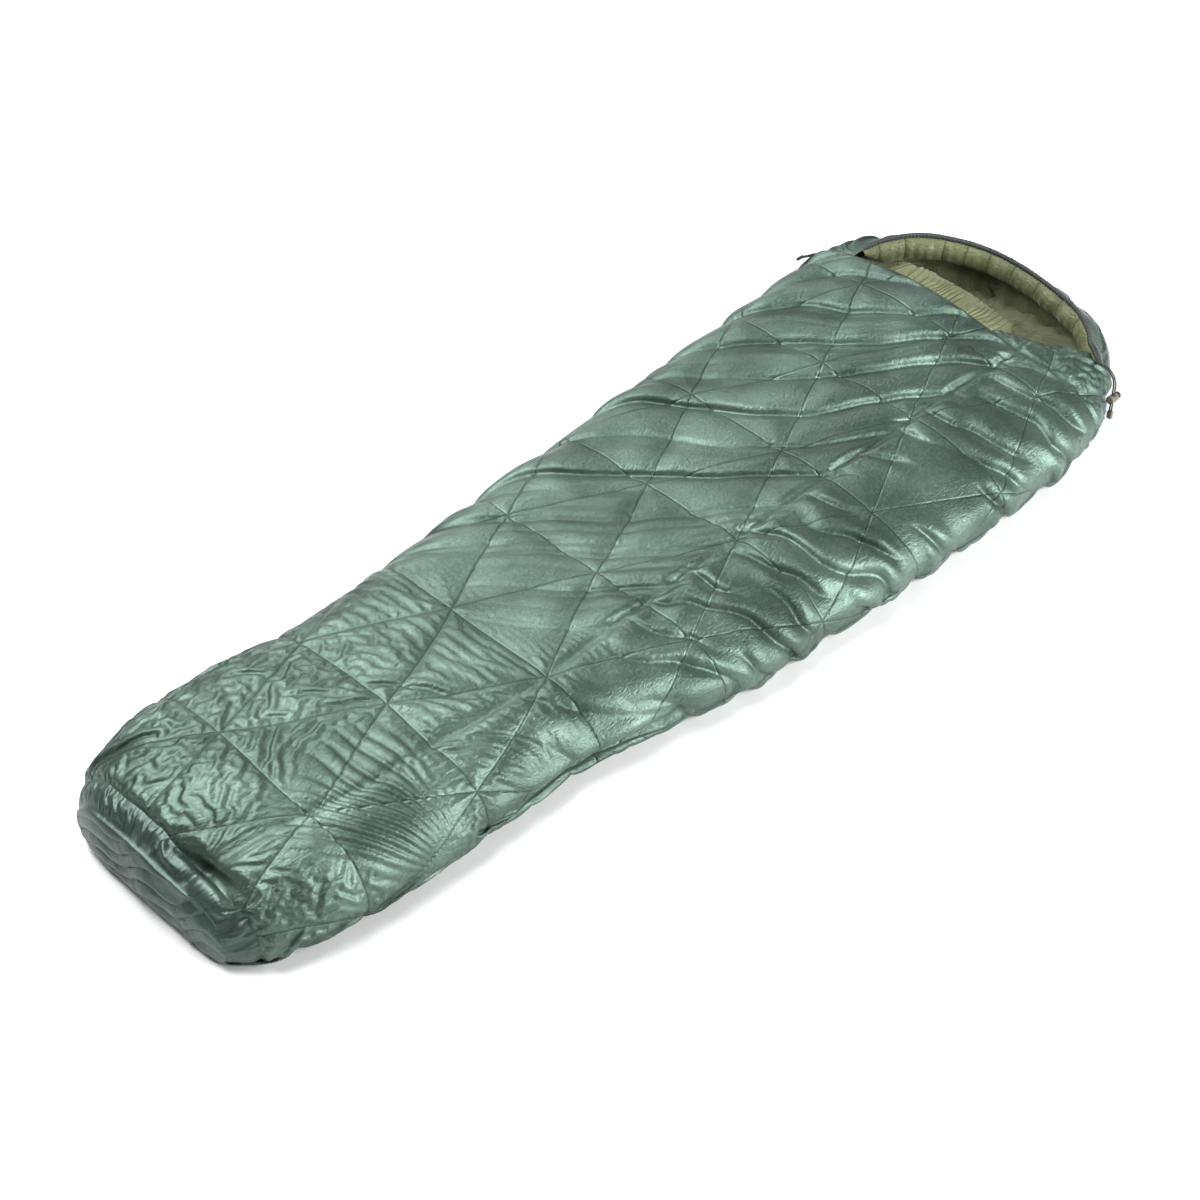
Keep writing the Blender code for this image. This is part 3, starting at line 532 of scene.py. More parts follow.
# ---------------------------------------------------------------- meshes
def grid_mesh(name, points, uv, seams=None, flip=False):
    """A quad mesh over a grid, with its cut size in metres as its UV map, and the distances
    to its quilting lines."""
    rows, columns = points.shape[:2]
    index = np.arange(rows * columns).reshape(rows, columns)
    corners = [index[:-1, :-1], index[:-1, 1:], index[1:, 1:], index[1:, :-1]]
    quads = np.stack(corners, axis=-1).reshape(-1, 4)
    if flip:
        quads = quads[:, ::-1]
    mesh = bpy.data.meshes.new(name)
    mesh.vertices.add(rows * columns)
    mesh.vertices.foreach_set("co", points.reshape(-1).astype(np.float32))
    mesh.loops.add(quads.size)
    mesh.loops.foreach_set("vertex_index", quads.reshape(-1).astype(np.int32))
    mesh.polygons.add(len(quads))
    mesh.polygons.foreach_set("loop_start", np.arange(0, quads.size, 4, dtype=np.int32))
    mesh.update(calc_edges=True)
    flat = uv.reshape(-1, 2)[quads.reshape(-1)]
    layer = mesh.uv_layers.new(name="UVMap")
    layer.data.foreach_set("uv", flat.reshape(-1).astype(np.float32))
    if seams is not None:
        attribute = mesh.attributes.new("seams", "FLOAT_VECTOR", "POINT")
        attribute.data.foreach_set("vector", seams.reshape(-1).astype(np.float32))
    mesh.shade_smooth()
    mesh.validate()
    return new_object(name, mesh)


# ---------------------------------------------------------------- materials
class Look:
    """A material, and short ways to add nodes to it."""

    def __init__(self, name, metallic=0.0, sheen=0.0):
        self.material = bpy.data.materials.new(name)
        self.material.use_nodes = True
        self.nodes, self.links = self.material.node_tree.nodes, self.material.node_tree.links
        self.shader = self.nodes["Principled BSDF"]
        self.set(self.shader, **{"Metallic": metallic, "Sheen Weight": sheen})

    def set(self, node, **values):
        """Sets a node's inputs, or links them where the value is another node's output."""
        for name, value in values.items():
            self.feed(node.inputs[name], value)
        return node

    def feed(self, socket, value):
        if isinstance(value, bpy.types.NodeSocket):
            self.links.new(value, socket)
        else:
            socket.default_value = value

    def math(self, operation, *values, clamp=False):
        node = self.nodes.new("ShaderNodeMath")
        node.operation = operation
        node.use_clamp = clamp
        for socket, value in zip(node.inputs, values):
            self.feed(socket, value)
        return node.outputs[0]

    def noise(self, vector, scale, detail=3.0, roughness=0.5):
        node = self.nodes.new("ShaderNodeTexNoise")
        self.set(node, Scale=scale, Detail=detail, Roughness=roughness, Vector=vector)
        return node.outputs["Fac"]

    def split(self, vector):
        return self.set(self.nodes.new("ShaderNodeSeparateXYZ"), Vector=vector).outputs

    def ramp(self, value, *stops):
        node = self.nodes.new("ShaderNodeValToRGB")
        while len(node.color_ramp.elements) < len(stops):
            node.color_ramp.elements.new(0.5)
        for element, (place, colour) in zip(node.color_ramp.elements, stops):
            element.position = place
            element.color = (*colour, 1.0)
        return self.set(node, Fac=value).outputs["Color"]

    def darken(self, colour, amount, share):
        """The colour times another one, as far as share says."""
        node = self.nodes.new("ShaderNodeMix")
        node.data_type = "RGBA"
        node.blend_type = "MULTIPLY"
        for place, value in ((7, (*amount, 1.0)), (0, share), (6, colour)):
            self.feed(node.inputs[place], value)
        return node.outputs[2]

    def finish(self, colour, roughness, height, distance, strength=1.0):
        raised = self.nodes.new("ShaderNodeBump")
        self.set(raised, Distance=distance, Strength=strength, Height=height)
        self.set(self.shader, **{"Base Color": colour, "Roughness": roughness,
                                 "Normal": raised.outputs["Normal"]})
        return self.material


def thread_lines(look, coordinate, pitch, share):
    """1 on a thin line every pitch, 0 between."""
    part = look.math("FRACT", look.math("DIVIDE", coordinate, pitch))
    return look.math("LESS_THAN", part, share)


def stitched_lines(look):
    """1 on the thread of a quilting line, and 1 falling off over the groove beside it."""
    seams = look.nodes.new("ShaderNodeAttribute")
    seams.attribute_name = "seams"
    there = look.nodes.new("ShaderNodeVectorMath")
    there.operation = "LENGTH"
    look.links.new(seams.outputs["Vector"], there.inputs[0])
    exists = look.math("GREATER_THAN", there.outputs["Value"], 1e-7)
    split = look.split(seams.outputs["Vector"])
    parts = [look.math("ABSOLUTE", split[axis]) for axis in "XYZ"]
    nearest = look.math("MINIMUM", parts[0], look.math("MINIMUM", parts[1], parts[2]))
    reaches = [look.math("SUBTRACT", 1.0, look.math("DIVIDE", nearest, reach), clamp=True)
               for reach in (0.0013, 0.0035)]
    return [look.math("MULTIPLY", reach, exists) for reach in reaches]


def cloth_material(name, dark, mid, light, roughness, metallic, grid_depth=0.6, sheen=0.15,
                   crinkle=1.0):
    """Woven nylon: a fine weave, a ripstop grid, small crinkles and dark stitched lines."""
    grid_pitch, thread_share, weave_turns = 0.0045, 0.16, 6500.0
    look = Look(name, metallic, sheen)
    look.set(look.shader, **{"Sheen Roughness": 0.4})
    uv = look.nodes.new("ShaderNodeUVMap")
    uv.uv_map = "UVMap"
    vector = uv.outputs["UV"]
    split = look.split(vector)
    wide = look.noise(vector, 7.0, 4.0, 0.55)
    fine = look.noise(vector, 160.0, 4.0, 0.6)
    tone = look.math("MULTIPLY_ADD", fine, 0.35, look.math("MULTIPLY", wide, 0.75))
    colour = look.ramp(tone, (0.32, dark), (0.52, mid), (0.74, light))
    ripstop = look.math("MAXIMUM", *(
        thread_lines(look, split[axis], grid_pitch, thread_share) for axis in "XY"))
    thread, groove = stitched_lines(look)
    colour = look.darken(colour, (0.80, 0.83, 0.82), look.math("MULTIPLY", ripstop, 0.6))
    colour = look.darken(colour, (0.16, 0.20, 0.19), thread)
    crinkles = look.noise(vector, 55.0, 5.0, 0.62)
    stretched = look.nodes.new("ShaderNodeMapping")
    look.set(stretched, Rotation=(0.0, 0.0, 0.75), Scale=(1.0, 3.2, 1.0), Vector=vector)
    ripples = look.noise(stretched.outputs["Vector"], 60.0, 3.0, 0.6)
    crinkles = look.math("MULTIPLY_ADD", ripples, 0.8, look.math("SUBTRACT", crinkles, 0.4))
    ridged = look.math("ABSOLUTE", look.math("SUBTRACT", crinkles, 0.5))
    weave = look.math("MULTIPLY", *(
        look.math("SINE", look.math("MULTIPLY", split[axis], weave_turns)) for axis in "XY"))
    height = look.math("MULTIPLY", ridged, -0.0024 * crinkle)
    for part, depth in ((ripstop, 0.00005 * grid_depth), (weave, 0.000012), (groove, -0.0009)):
        height = look.math("MULTIPLY_ADD", part, depth, height)
    rough = look.math("MULTIPLY_ADD", fine, 0.16, roughness - 0.08)
    return look.finish(colour, rough, height, 1.0)


def solid_material(name, colour, roughness, metallic=0.0, scale=400.0, depth=0.0001, variety=0.25,
                   sheen=0.0):
    """Moulded, metal or felt-like surfaces: tone and relief from noise in the piece's space."""
    look = Look(name, metallic, sheen)
    fine = look.noise(look.nodes.new("ShaderNodeTexCoord").outputs["Object"], scale, 4.0, 0.6)
    dark = tuple(c * (1 - variety) for c in colour)
    light = tuple(min(1.0, c * (1 + variety)) for c in colour)
    tone = look.ramp(fine, (0.3, dark), (0.5, colour), (0.7, light))
    rough = look.math("MULTIPLY_ADD", fine, 0.2, roughness - 0.1)
    return look.finish(tone, rough, fine, depth, 0.8)


def woven_material(name, colour, roughness, across=0.0012):
    """Webbing, tape and braid: diagonal ribs in the piece's space."""
    look = Look(name, sheen=0.1)
    place = look.nodes.new("ShaderNodeTexCoord").outputs["Object"]
    wave = look.nodes.new("ShaderNodeTexWave")
    wave.wave_type = "BANDS"
    wave.bands_direction = "DIAGONAL"
    look.set(wave, Scale=1.0 / across / 6.28, Distortion=0.6, Vector=place)
    ribs = wave.outputs["Fac"]
    dark = tuple(c * 0.6 for c in colour)
    light = tuple(c * 1.35 for c in colour)
    rough = look.math("MULTIPLY_ADD", look.noise(place, 900.0), 0.15, roughness - 0.07)
    return look.finish(look.ramp(ribs, (0.2, dark), (0.8, light)), rough, ribs, 0.0003)


def wear(obj, material):
    obj.data.materials.clear()
    obj.data.materials.append(material)


# ---------------------------------------------------------------- floor, lights and world
def area_light(name, place, aim, size, power):
    data = bpy.data.lights.new(name, "AREA")
    data.shape = "RECTANGLE"
    data.size, data.size_y = size
    data.energy = power
    light = new_object(name, data)
    light.location = place
    light.rotation_mode = "QUATERNION"
    light.rotation_quaternion = (Vector(aim) - Vector(place)).to_track_quat("-Z", "Y")


def make_studio():
    world = bpy.data.worlds.new("studio")
    world.use_nodes = True
    background = world.node_tree.nodes["Background"]
    background.inputs["Color"].default_value = (1.0, 1.0, 1.0, 1.0)
    background.inputs["Strength"].default_value = 0.12
    bpy.context.scene.world = world
    bpy.context.scene.view_settings.view_transform = "Standard"
    bpy.context.scene.view_settings.look = "None"
    area_light("key", (1.3, -3.0, 1.5), (0.1, -0.1, 0.1), (2.4, 1.4), 210.0)
    area_light("over", (-1.0, 1.2, 3.2), (-0.1, 0.0, 0.0), (2.8, 1.8), 200.0)
    area_light("back", (2.6, 4.2, 3.4), (2.0, 3.2, 0.0), (3.0, 2.0), 160.0)
    mesh = bpy.data.meshes.new("floor")
    bm = bmesh.new()
    bmesh.ops.create_grid(bm, x_segments=1, y_segments=1, size=14.0)
    bm.to_mesh(mesh)
    bm.free()
    floor = new_object("floor", mesh)
    floor.location = (0, 0, -FLOOR_GAP)
    look = Look("floor")
    look.set(look.shader, **{"Base Color": (0.93, 0.93, 0.93, 1.0), "Roughness": 0.9,
                             "Specular IOR Level": 0.1})
    wear(floor, look.material)


# ---------------------------------------------------------------- the pieces
# Depths under the cover: wadding from and to, and the lining. Nothing inside is lower than
# INNER_FLOOR.
LAYER_TOP, LAYER_BOTTOM, LINING_DEPTH, INNER_FLOOR = 0.0092, 0.0175, 0.0202, 0.0195
HEM_DEPTH, LINING_HEM_DEPTH, HEM_STEPS = 0.0185, 0.0105, 4
# "seams" value where a grid has no stitched lines in reach.
NO_SEAM = 0.02


def place_piece(obj, body, slot, *replaced):
    """Rides a piece on its body. A piece of the "lid" has its place baked into its mesh."""
    if body == "lid":
        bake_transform(obj)
    else:
        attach(obj, body)
    if replaced:
        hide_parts(*replaced)


def panel_mesh(name, grids, material, hem=(), lining=False):
    """A panel of cloth, from its points, normals, UV and seams, with a hem turned in along
    the edges named in hem: head, zip_high (the last column) or zip_low (the first one). A
    lining's hems turn outward to its cover."""
    depth = -LINING_HEM_DEPTH if lining else HEM_DEPTH
    for edge in hem:
        axis, at = {"head": (0, -1), "zip_high": (1, -1), "zip_low": (1, 0)}[edge]
        grids = [hem_grid(grid, grids, kind, axis, at, depth) for kind, grid in enumerate(grids)]
    obj = grid_mesh(name, grids[0], grids[2], grids[3], flip=not lining)
    wear(obj, material)
    return obj


def hem_grid(grid, grids, kind, axis, at, depth):
    """One grid with the rows or columns of a hem added at an edge."""
    edge = np.take(grid, [at], axis=axis)
    rows = []
    for k in range(1, HEM_STEPS + 1):
        share = k / HEM_STEPS
        if kind == 0:
            direction = np.take(grids[1], [at], axis=axis)
            inner = np.take(grid, [at - 3 if at else 3], axis=axis)
            outward = edge - inner
            outward = outward / (np.linalg.norm(outward, axis=2, keepdims=True) + 1e-9)
            round_off = 0.0022 * math.sin(math.pi * min(1, share * 1.2))
            rows.append(edge - direction * depth * share + outward * round_off)
        elif kind == 2:
            beyond = np.zeros_like(edge)
            beyond[..., axis] = abs(depth) * share * (1 if at else -1)
            rows.append(edge + beyond)
        elif kind == 3:
            rows.append(np.full_like(edge, NO_SEAM))
        else:
            rows.append(edge)
    if at == 0:
        return np.concatenate([*rows[::-1], grid], axis=axis)
    return np.concatenate([grid, *rows], axis=axis)


@contextmanager
def edited(obj):
    """A piece's mesh to edit, which is stored when the block ends."""
    bm = bmesh.new()
    bm.from_mesh(obj.data)
    yield bm
    bm.to_mesh(obj.data)
    bm.free()
    obj.data.shade_smooth()


def weld(obj):
    with edited(obj) as bm:
        bmesh.ops.remove_doubles(bm, verts=bm.verts, dist=1e-6)
    return obj


def close_round(grid):
    """The grid with its first column repeated, so that the weave doesn't jump there."""
    return np.concatenate([grid, grid[:, :1]], axis=1)


def sleeve_mesh(name, points, uv, material, seams=None, flip=False):
    """A closed sleeve. Without seams it has no stitched lines."""
    if seams is None:
        seams = np.full(points.shape, NO_SEAM)
    flat = close_round(uv)
    flat[:, -1] = uv[:, -1] + (0, 0.006)
    obj = grid_mesh(name, close_round(points), flat, close_round(seams), flip=flip)
    wear(obj, material)
    return weld(obj)


def swept_uv(distance, sides, step):
    """The UV map of a profile with so many sides, a step apart, swept along a line."""
    return np.stack(np.meshgrid(distance, np.arange(sides) * step, indexing="ij"), axis=-1)


def slab_mesh(name, outer, inner, uv, material, closed=False):
    """A closed pad between two grids: the one grid goes round the other's back."""
    if closed:
        points = close_round(np.concatenate([outer, inner[::-1], outer[:1]]))
        flat = np.concatenate([uv, uv[::-1] + (0, 3), uv[:1]])
        flat = np.concatenate([flat, flat[:, -1:] + (0, 0.01)], axis=1)
    else:
        ends = [(outer[rows] + inner[rows]) / 2 for rows in (slice(0, 1), slice(-1, None))]
        outer, inner = (np.concatenate([ends[0], grid, ends[1]]) for grid in (outer, inner))
        points = np.concatenate([outer, inner[:, ::-1], outer[:, :1]], axis=1)
        uv = np.concatenate([uv[:1] - (0.01, 0), uv, uv[-1:] + (0.01, 0)])
        flat = np.concatenate([uv, uv[:, ::-1] + (0, 3), uv[:, :1]], axis=1)
    obj = grid_mesh(name, points, flat, flip=True)
    wear(obj, material)
    return weld(obj)


# Each panel's columns, hems and body.
PANELS = {
    "side": (list(range(0, CREASE_COLUMN + 1)), (), "bag"),
    "top": (list(range(CREASE_COLUMN, ZIP_HIGH_COLUMN + 1)), ("head", "zip_high"), "lid"),
    "bottom": ([*range(ZIP_LOW_COLUMN, COLUMNS), 0], ("zip_low",), "bag"),
}
# Edges at the lengthwise seam, where the lining turns out to meet the cover.
LINING_HEMS = {"side": ("zip_high",), "top": ("zip_low",), "bottom": ()}


def make_quilts(cover, looks):
    """Cuts the cloth into the panels that the bag is sewn from, each with its wadding and
    its lining, which is stitched through along the same lines."""
    split = int(np.argmin(np.abs(cover["along"][:, 0] - FOOTBOX_END)))
    uv = np.stack([cover["along"], cover["girth"]], axis=-1)
    base, normals, seams = cover["base"], cover["normals"], cover["seams"]
    # Where the cover is pressed in deeply, the layers under it give way, five cells round.
    dent = np.maximum(-0.0075 - cover["height"], 0)
    for axis in (0, 1):
        dent = np.max([np.roll(dent, shift, axis=axis) for shift in range(-5, 6)], axis=0)
    bulge = 0.75 * np.maximum(cover["height"] + 0.0045, 0)
    lining = base - normals * (LINING_DEPTH + bulge + dent)[..., None]
    lining[..., 2] = np.maximum(lining[..., 2], INNER_FLOOR)
    lumps = 0.0006 * layered_noise(cover["along"], cover["girth"], 0.03, 81, 2)
    wad_top = base - normals * (LAYER_TOP + np.abs(lumps) + 1.1 * dent)[..., None]
    wad_bottom = base - normals * (LAYER_BOTTOM + dent)[..., None]

    foot = slice(END_ROWS, split + 1)
    first = 6
    inside = slice(first, split + 1, 2)
    for name, points, rows, look, node in (
            ("footbox_cover", cover["points"], foot, "shell", "footbox_shell"),
            ("footbox_lining", lining, inside, "liner", "footbox_liner")):
        obj = sleeve_mesh(name, points[rows], uv[rows], looks[look], seams[rows], flip=look == "shell")
        if look == "liner":
            place = first * HEAD_EDGE / (COVER_ROWS - 1) - LENGTH / 2
            add_cap(obj, closing_rings(lining[first], 6, place))
        place_piece(obj, "bag", f"{look}_fabric", node)
    inside = slice(4, split - 1, 4)
    obj = slab_mesh("footbox_wadding", wad_top[inside, ::4], wad_bottom[inside, ::4], uv[inside, ::4],
                    looks["wadding"], closed=True)
    place_piece(obj, "bag", "insulation", "footbox_insulation")

    for name, (columns, hem, body) in PANELS.items():
        for kind, points, step, look, hems in (("cover", cover["points"], 1, "shell", hem),
                                               ("lining", lining, 2, "liner", LINING_HEMS[name])):
            grids = [grid[split::step][:, columns[::step]] for grid in (points, normals, uv, seams)]
            obj = panel_mesh(f"{name}_{kind}", grids, looks[look], hems, kind == "lining")
            place_piece(obj, body, f"{look}_fabric", f"{name}_{look}")
        few = slice(split + 2, COVER_ROWS - 2, 4)
        some = columns[2:-2:3]
        grids = [grid[few][:, some] for grid in (wad_top, wad_bottom, uv)]
        obj = slab_mesh(f"{name}_wadding", *grids, looks["wadding"])
        place_piece(obj, body, "insulation", f"{name}_insulation")


def closing_rings(ring, count, x):
    """Smaller and smaller rings that close a sleeve's end."""
    middle = ring.mean(axis=0)
    rings = []
    for k in range(1, count + 1):
        share = k / count
        inner = ring + (middle - ring) * share * 0.999
        inner[:, 0] = x + 0.002 * math.sin(share * 9)
        rings.append(inner)
    return rings


def add_cap(obj, rings):
    """Joins an end cap, made of rings, to a sleeve."""
    with edited(obj) as bm:
        uv = bm.loops.layers.uv.verify()
        rows = [[bm.verts.new(point) for point in ring] for ring in rings]
        for one, other in zip(rows, rows[1:]):
            for k in range(len(one)):
                after = (k + 1) % len(one)
                face = bm.faces.new((one[k], one[after], other[after], other[k]))
                for loop in face.loops:
                    loop[uv].uv = (loop.vert.co.y, loop.vert.co.z)


def end_panel(cover, looks):
    """The soft end of the footbox: a pleated dome that reaches round to its seam."""
    ring = cover["points"][0][:, 1:]
    middle = np.array((0.0, 0.052))
    rows, flat = [], []
    for share in np.sin(np.linspace(0, math.pi / 2, 56))[:-1]:
        line = middle + (ring - middle) * share
        y, z = line[:, 0], line[:, 1]
        rim = (1 - share**2) ** 0.5
        slant = (y * 0.42 + z * 1.3) / 0.034 + 0.8 * lattice_noise(y / 0.07, z / 0.07, 71)
        pleats = pillow(slant, 0.7, 0.7) - 0.5
        soft = layered_noise(y, z * 1.6, 0.055, 73, 3)
        pinch = bump(y, -0.12, 0.045) * bump(z, 0.088, 0.014)
        out = 0.003 + 0.012 * rim + (0.0075 * pleats + 0.005 * soft) * rim - 0.014 * pinch
        rows.append(np.column_stack([cover["points"][0][:, 0] - out * min(1, 8 * rim), y, z]))
        flat.append(np.column_stack([y, z]))
    band = slice(0, END_ROWS + 1)
    reach = cover["along"][band, 0][:, None, None] + 1
    points = np.concatenate([np.array(rows), cover["points"][band]])
    points[..., 2] = np.maximum(points[..., 2], FLOOR_GAP)
    flat = np.concatenate([np.array(flat), middle + (ring - middle) * reach])
    # The end panel wears the darker copy of the shell cloth, which is painted shade.
    obj = sleeve_mesh("end_panel_cover", points, flat, looks["end"], flip=True)
    place_piece(obj, "bag", "end_panel_fabric", "footbox_end_panel")


# ---------------------------------------------------------------- hood
HOOD_ROWS = 64
CAP_ROWS = 12
# The edge of the opening from the rim's near end to the lid's edge, seen from above.
MOUTH_TAIL = ((2.046, -0.240), (2.020, -0.222), (1.985, -0.178), (1.955, -0.120), (1.938, -0.082))


def mouth_plan(inset=0.0, steps=90, start=0.0, end=180.0):
    """The rim of the face opening, seen from above, from the far corner to the near one."""
    angles = np.radians(np.linspace(start, end, steps + 1))
    across = np.sign(np.cos(angles)) * np.abs(np.cos(angles)) ** (2 / MOUTH_POWER)
    along = np.sin(angles) ** (2 / MOUTH_POWER)
    return np.column_stack([HEAD_EDGE + (MOUTH_DEPTH - inset) * along, (MOUTH_FAR - inset) * across])


def mouth_polygon():
    curve = mouth_plan(end=MOUTH_NEAR_END)
    tail = [(HEAD_EDGE - 0.03, MOUTH_TAIL[-1][1]), (HEAD_EDGE - 0.03, MOUTH_FAR)]
    return np.vstack([curve, even_steps(MOUTH_TAIL, 30), tail])


def inside_polygon(points, polygon):
    """Whether each point of the plan lies inside a polygon."""
    x, y = points[:, 0], points[:, 1]
    inside = np.zeros(len(points), bool)
    for (ax, ay), (bx, by) in zip(polygon, np.roll(polygon, -1, axis=0)):
        crosses = (ay > y) != (by > y)
        with np.errstate(divide="ignore", invalid="ignore"):
            inside ^= crosses & (x < (bx - ax) * (y - ay) / (by - ay) + ax)
    return inside


def hood_grid():
    """Rings of the hood's outer surface, rounded to a close at the crown."""
    places = HEAD_EDGE + (LENGTH - 0.003 - HEAD_EDGE) * np.linspace(0, 1, HOOD_ROWS)
    rings = ring_grid(places)
    last = rings[-1]
    middle = last.mean(axis=0)
    cap = []
    for k in range(1, CAP_ROWS + 1):
        share = k / CAP_ROWS
        ring = last + (middle - last) * (1 - math.cos(share * math.pi / 2)) * 0.999
        ring[:, 0] = last[0, 0] + 0.003 * math.sin(share * math.pi / 2)
        cap.append(ring)
    along = np.concatenate([places, np.full(CAP_ROWS, LENGTH) + 0.008 * np.arange(1, CAP_ROWS + 1)])
    return np.concatenate([rings, np.array(cap)]), along


def cut_mouth(obj, outline, lowest):
    """Opens the face opening in a skin of the hood and draws its edge to a smooth line."""
    with edited(obj) as bm:
        centres = np.array([tuple(face.calc_center_median()) for face in bm.faces])
        gone = inside_polygon(centres[:, :2] + (LENGTH / 2, 0), outline) & (centres[:, 2] > lowest)
        bm.faces.ensure_lookup_table()
        bmesh.ops.delete(bm, geom=[bm.faces[k] for k in np.nonzero(gone)[0]], context="FACES")
        edge = [vert for vert in bm.verts if vert.is_boundary and vert.co.z > lowest
                and vert.co.x > HEAD_EDGE - LENGTH / 2 + 0.001]
        dense = even_steps(np.vstack([outline, outline[:1]]), 1200)
        for vert in edge:
            place = np.array((vert.co.x + LENGTH / 2, vert.co.y))
            near = dense[np.argmin(((dense - place) ** 2).sum(1))]
            if np.hypot(*(near - place)) < 0.03:
                vert.co.x, vert.co.y = near[0] - LENGTH / 2, near[1]
        for _ in range(8):
            moved = []
            for vert in edge:
                sides = [e.other_vert(vert) for e in vert.link_edges if e.is_boundary]
                if len(sides) == 2:
                    moved.append((vert, (sides[0].co + sides[1].co) * 0.25 + vert.co * 0.5))
            for vert, place in moved:
                vert.co = place


def hood_lining(base, normals, turn, seams, near_rim, along):
    """The hood's lining: gathered from the rim, loose on the floor, and turned out to the
    cover at its front edge. Returns its points and seams."""
    x, y, z = (base + (LENGTH / 2, 0, 0))[..., 0], base[..., 1], base[..., 2]
    lining = base - normals * LINING_DEPTH
    lining[..., 0] = np.minimum(lining[..., 0], LENGTH / 2 - LINING_DEPTH)
    folds = np.sin(turn * 26 + 2.5 * lattice_noise(x / 0.07, y / 0.07, 101))
    rough = layered_noise(x + z, y, 0.035, 103, 3)
    floor = smooth_step(0.05 - z, 0, 0.04)
    gathers = pillow(turn * 5.5 + 0.9 * lattice_noise(x / 0.06, z / 0.05, 105), 0.8, 0.7)
    loose = np.abs(layered_noise(x * 1.6, y * 0.8, 0.05, 107, 2))
    fold = 0.009 * gathers + 0.002 * folds + 0.004 * rough + 0.012 * floor * loose
    fold = np.maximum(fold, 0) * (1 - near_rim)
    fold = fold * smooth_step(along, HEAD_EDGE + 0.005, HEAD_EDGE + 0.05)
    lining = lining - normals * fold[..., None]
    lining[..., 2] = np.maximum(lining[..., 2], INNER_FLOOR)
    lining[0, :, 0] -= 0.012
    lining[0] -= normals[0] * 0.001
    sewn = 0.05 * np.sin(turn * 12) + 0.02 * floor
    stitches = np.stack([sewn, np.full(z.shape, 0.05), seams[..., 0]], axis=-1)
    wall = base[:1] - normals[:1] * 0.007
    return np.concatenate([wall, lining]), np.concatenate([stitches[:1], stitches])


def make_hood(looks):
    """Cover, wadding and lining of the hood, cut open over the face."""
    base, places = hood_grid()
    normals = grid_normals(base)
    along = np.repeat(places[:, None], COLUMNS, axis=1)
    girth = girth_of(base)
    plan = base[..., :2] + (LENGTH / 2, 0)
    rim = even_steps(mouth_plan(end=MOUTH_NEAR_END), 60)
    apart = np.min(np.linalg.norm(plan[:, :, None, :] - rim[None, None], axis=-1), axis=2)
    near_rim = np.exp(-((apart / 0.016) ** 2)) * (base[..., 2] > 0.10)
    seams = quilt_offsets(along, girth)
    seam = np.abs(seams).min(axis=-1)
    turn = np.arctan2(plan[..., 1], plan[..., 0] - HEAD_EDGE)
    target = 0.0075 * (1 - np.exp(-((seam / 0.030) ** 2))) - 0.004
    target = target * (1 - near_rim)
    hold = np.maximum(0.5 * np.exp(-((seam / 0.0035) ** 2)) + 0.012, near_rim * 0.9)
    hold[:2] = 1.0
    hold[-1] = 1.0
    target[:2] = 0.0
    growth = 0.07 + 0.03 * layered_noise(along, girth, 0.1, 91, 2)
    cloth = Cloth(base, normals, growth, growth)
    ripples = np.sin(turn * 34 + 2 * lattice_noise(along / 0.06, girth / 0.08, 95))
    seed = 0.004 * ripples * (1 - near_rim) + 0.002 * layered_noise(along, girth, 0.03, 93, 2)
    points = base + normals * (seed + target)[..., None]
    points = cloth.relax(points, 80, hold, target, -0.0070, 0.012)
    points[..., 0] = np.minimum(points[..., 0], LENGTH / 2 + 0.008)
    uv = np.stack([along, girth], axis=-1)
    outline = mouth_polygon()
    obj = sleeve_mesh("hood_cover", points, uv, looks["shell"], seams, flip=True)
    cut_mouth(obj, outline, 0.10)
    place_piece(obj, "bag", "shell_fabric", "hood_shell")

    lining, stitches = hood_lining(base, normals, turn, seams, near_rim, along)
    flat = np.concatenate([uv[:1] - (0.016, 0), uv])
    obj = sleeve_mesh("hood_lining", lining, flat, looks["liner"], stitches)
    cut_mouth(obj, outline, 0.085)
    place_piece(obj, "bag", "liner_fabric", "hood_liner")

    few = (slice(1, HOOD_ROWS - 4, 3), slice(None, None, 3))
    layers = [(base - normals * depth)[few] for depth in (LAYER_TOP, LAYER_BOTTOM)]
    obj = slab_mesh("hood_wadding", *layers, uv[few], looks["wadding"], closed=True)
    cut_mouth(obj, inflate(outline, 0.016), 0.08)
    place_piece(obj, "bag", "insulation", "hood_insulation")


def inflate(outline, amount):
    """The outline moved outward from its middle."""
    middle = outline.mean(axis=0)
    away = outline - middle
    return outline + away / np.linalg.norm(away, axis=1, keepdims=True) * amount


def crown_height(along, across):
    """Height of the outer surface at a place on the top."""
    side, top = section_stretches(along)[:2]
    over = np.array(side + top)
    over = over[np.argsort(over[:, 0])]
    return float(np.interp(across, over[:, 0], over[:, 1]))


def rim_line(count=160):
    """The rim of the hood in space, on its outer surface."""
    plan = mouth_plan(inset=0.003, steps=count, start=4.0, end=MOUTH_NEAR_END - 2)
    line = np.array([(a - LENGTH / 2, y, crown_height(a, y)) for a, y in plan])
    last = np.array((TAIL_X, -0.279, 0.1225))
    tail = [line[-1] + (last - line[-1]) * share for share in (0.35, 0.7, 1.0)]
    return even_steps(np.vstack([line, tail]), count)


def swept(line, profile_at):
    """A grid of profiles along a line. profile_at gives (outward, upward) offsets."""
    ahead = np.gradient(line, axis=0)
    ahead /= np.linalg.norm(ahead, axis=1, keepdims=True)
    outward = np.cross(ahead, (0.0, 0.0, 1.0))
    outward /= np.linalg.norm(outward, axis=1, keepdims=True)
    upward = np.cross(outward, ahead)
    rows = []
    for k, point in enumerate(line):
        profile = np.array(profile_at(k / (len(line) - 1), k))
        rows.append(point + profile[:, :1] * outward[k] + profile[:, 1:] * upward[k])
    return np.array(rows)


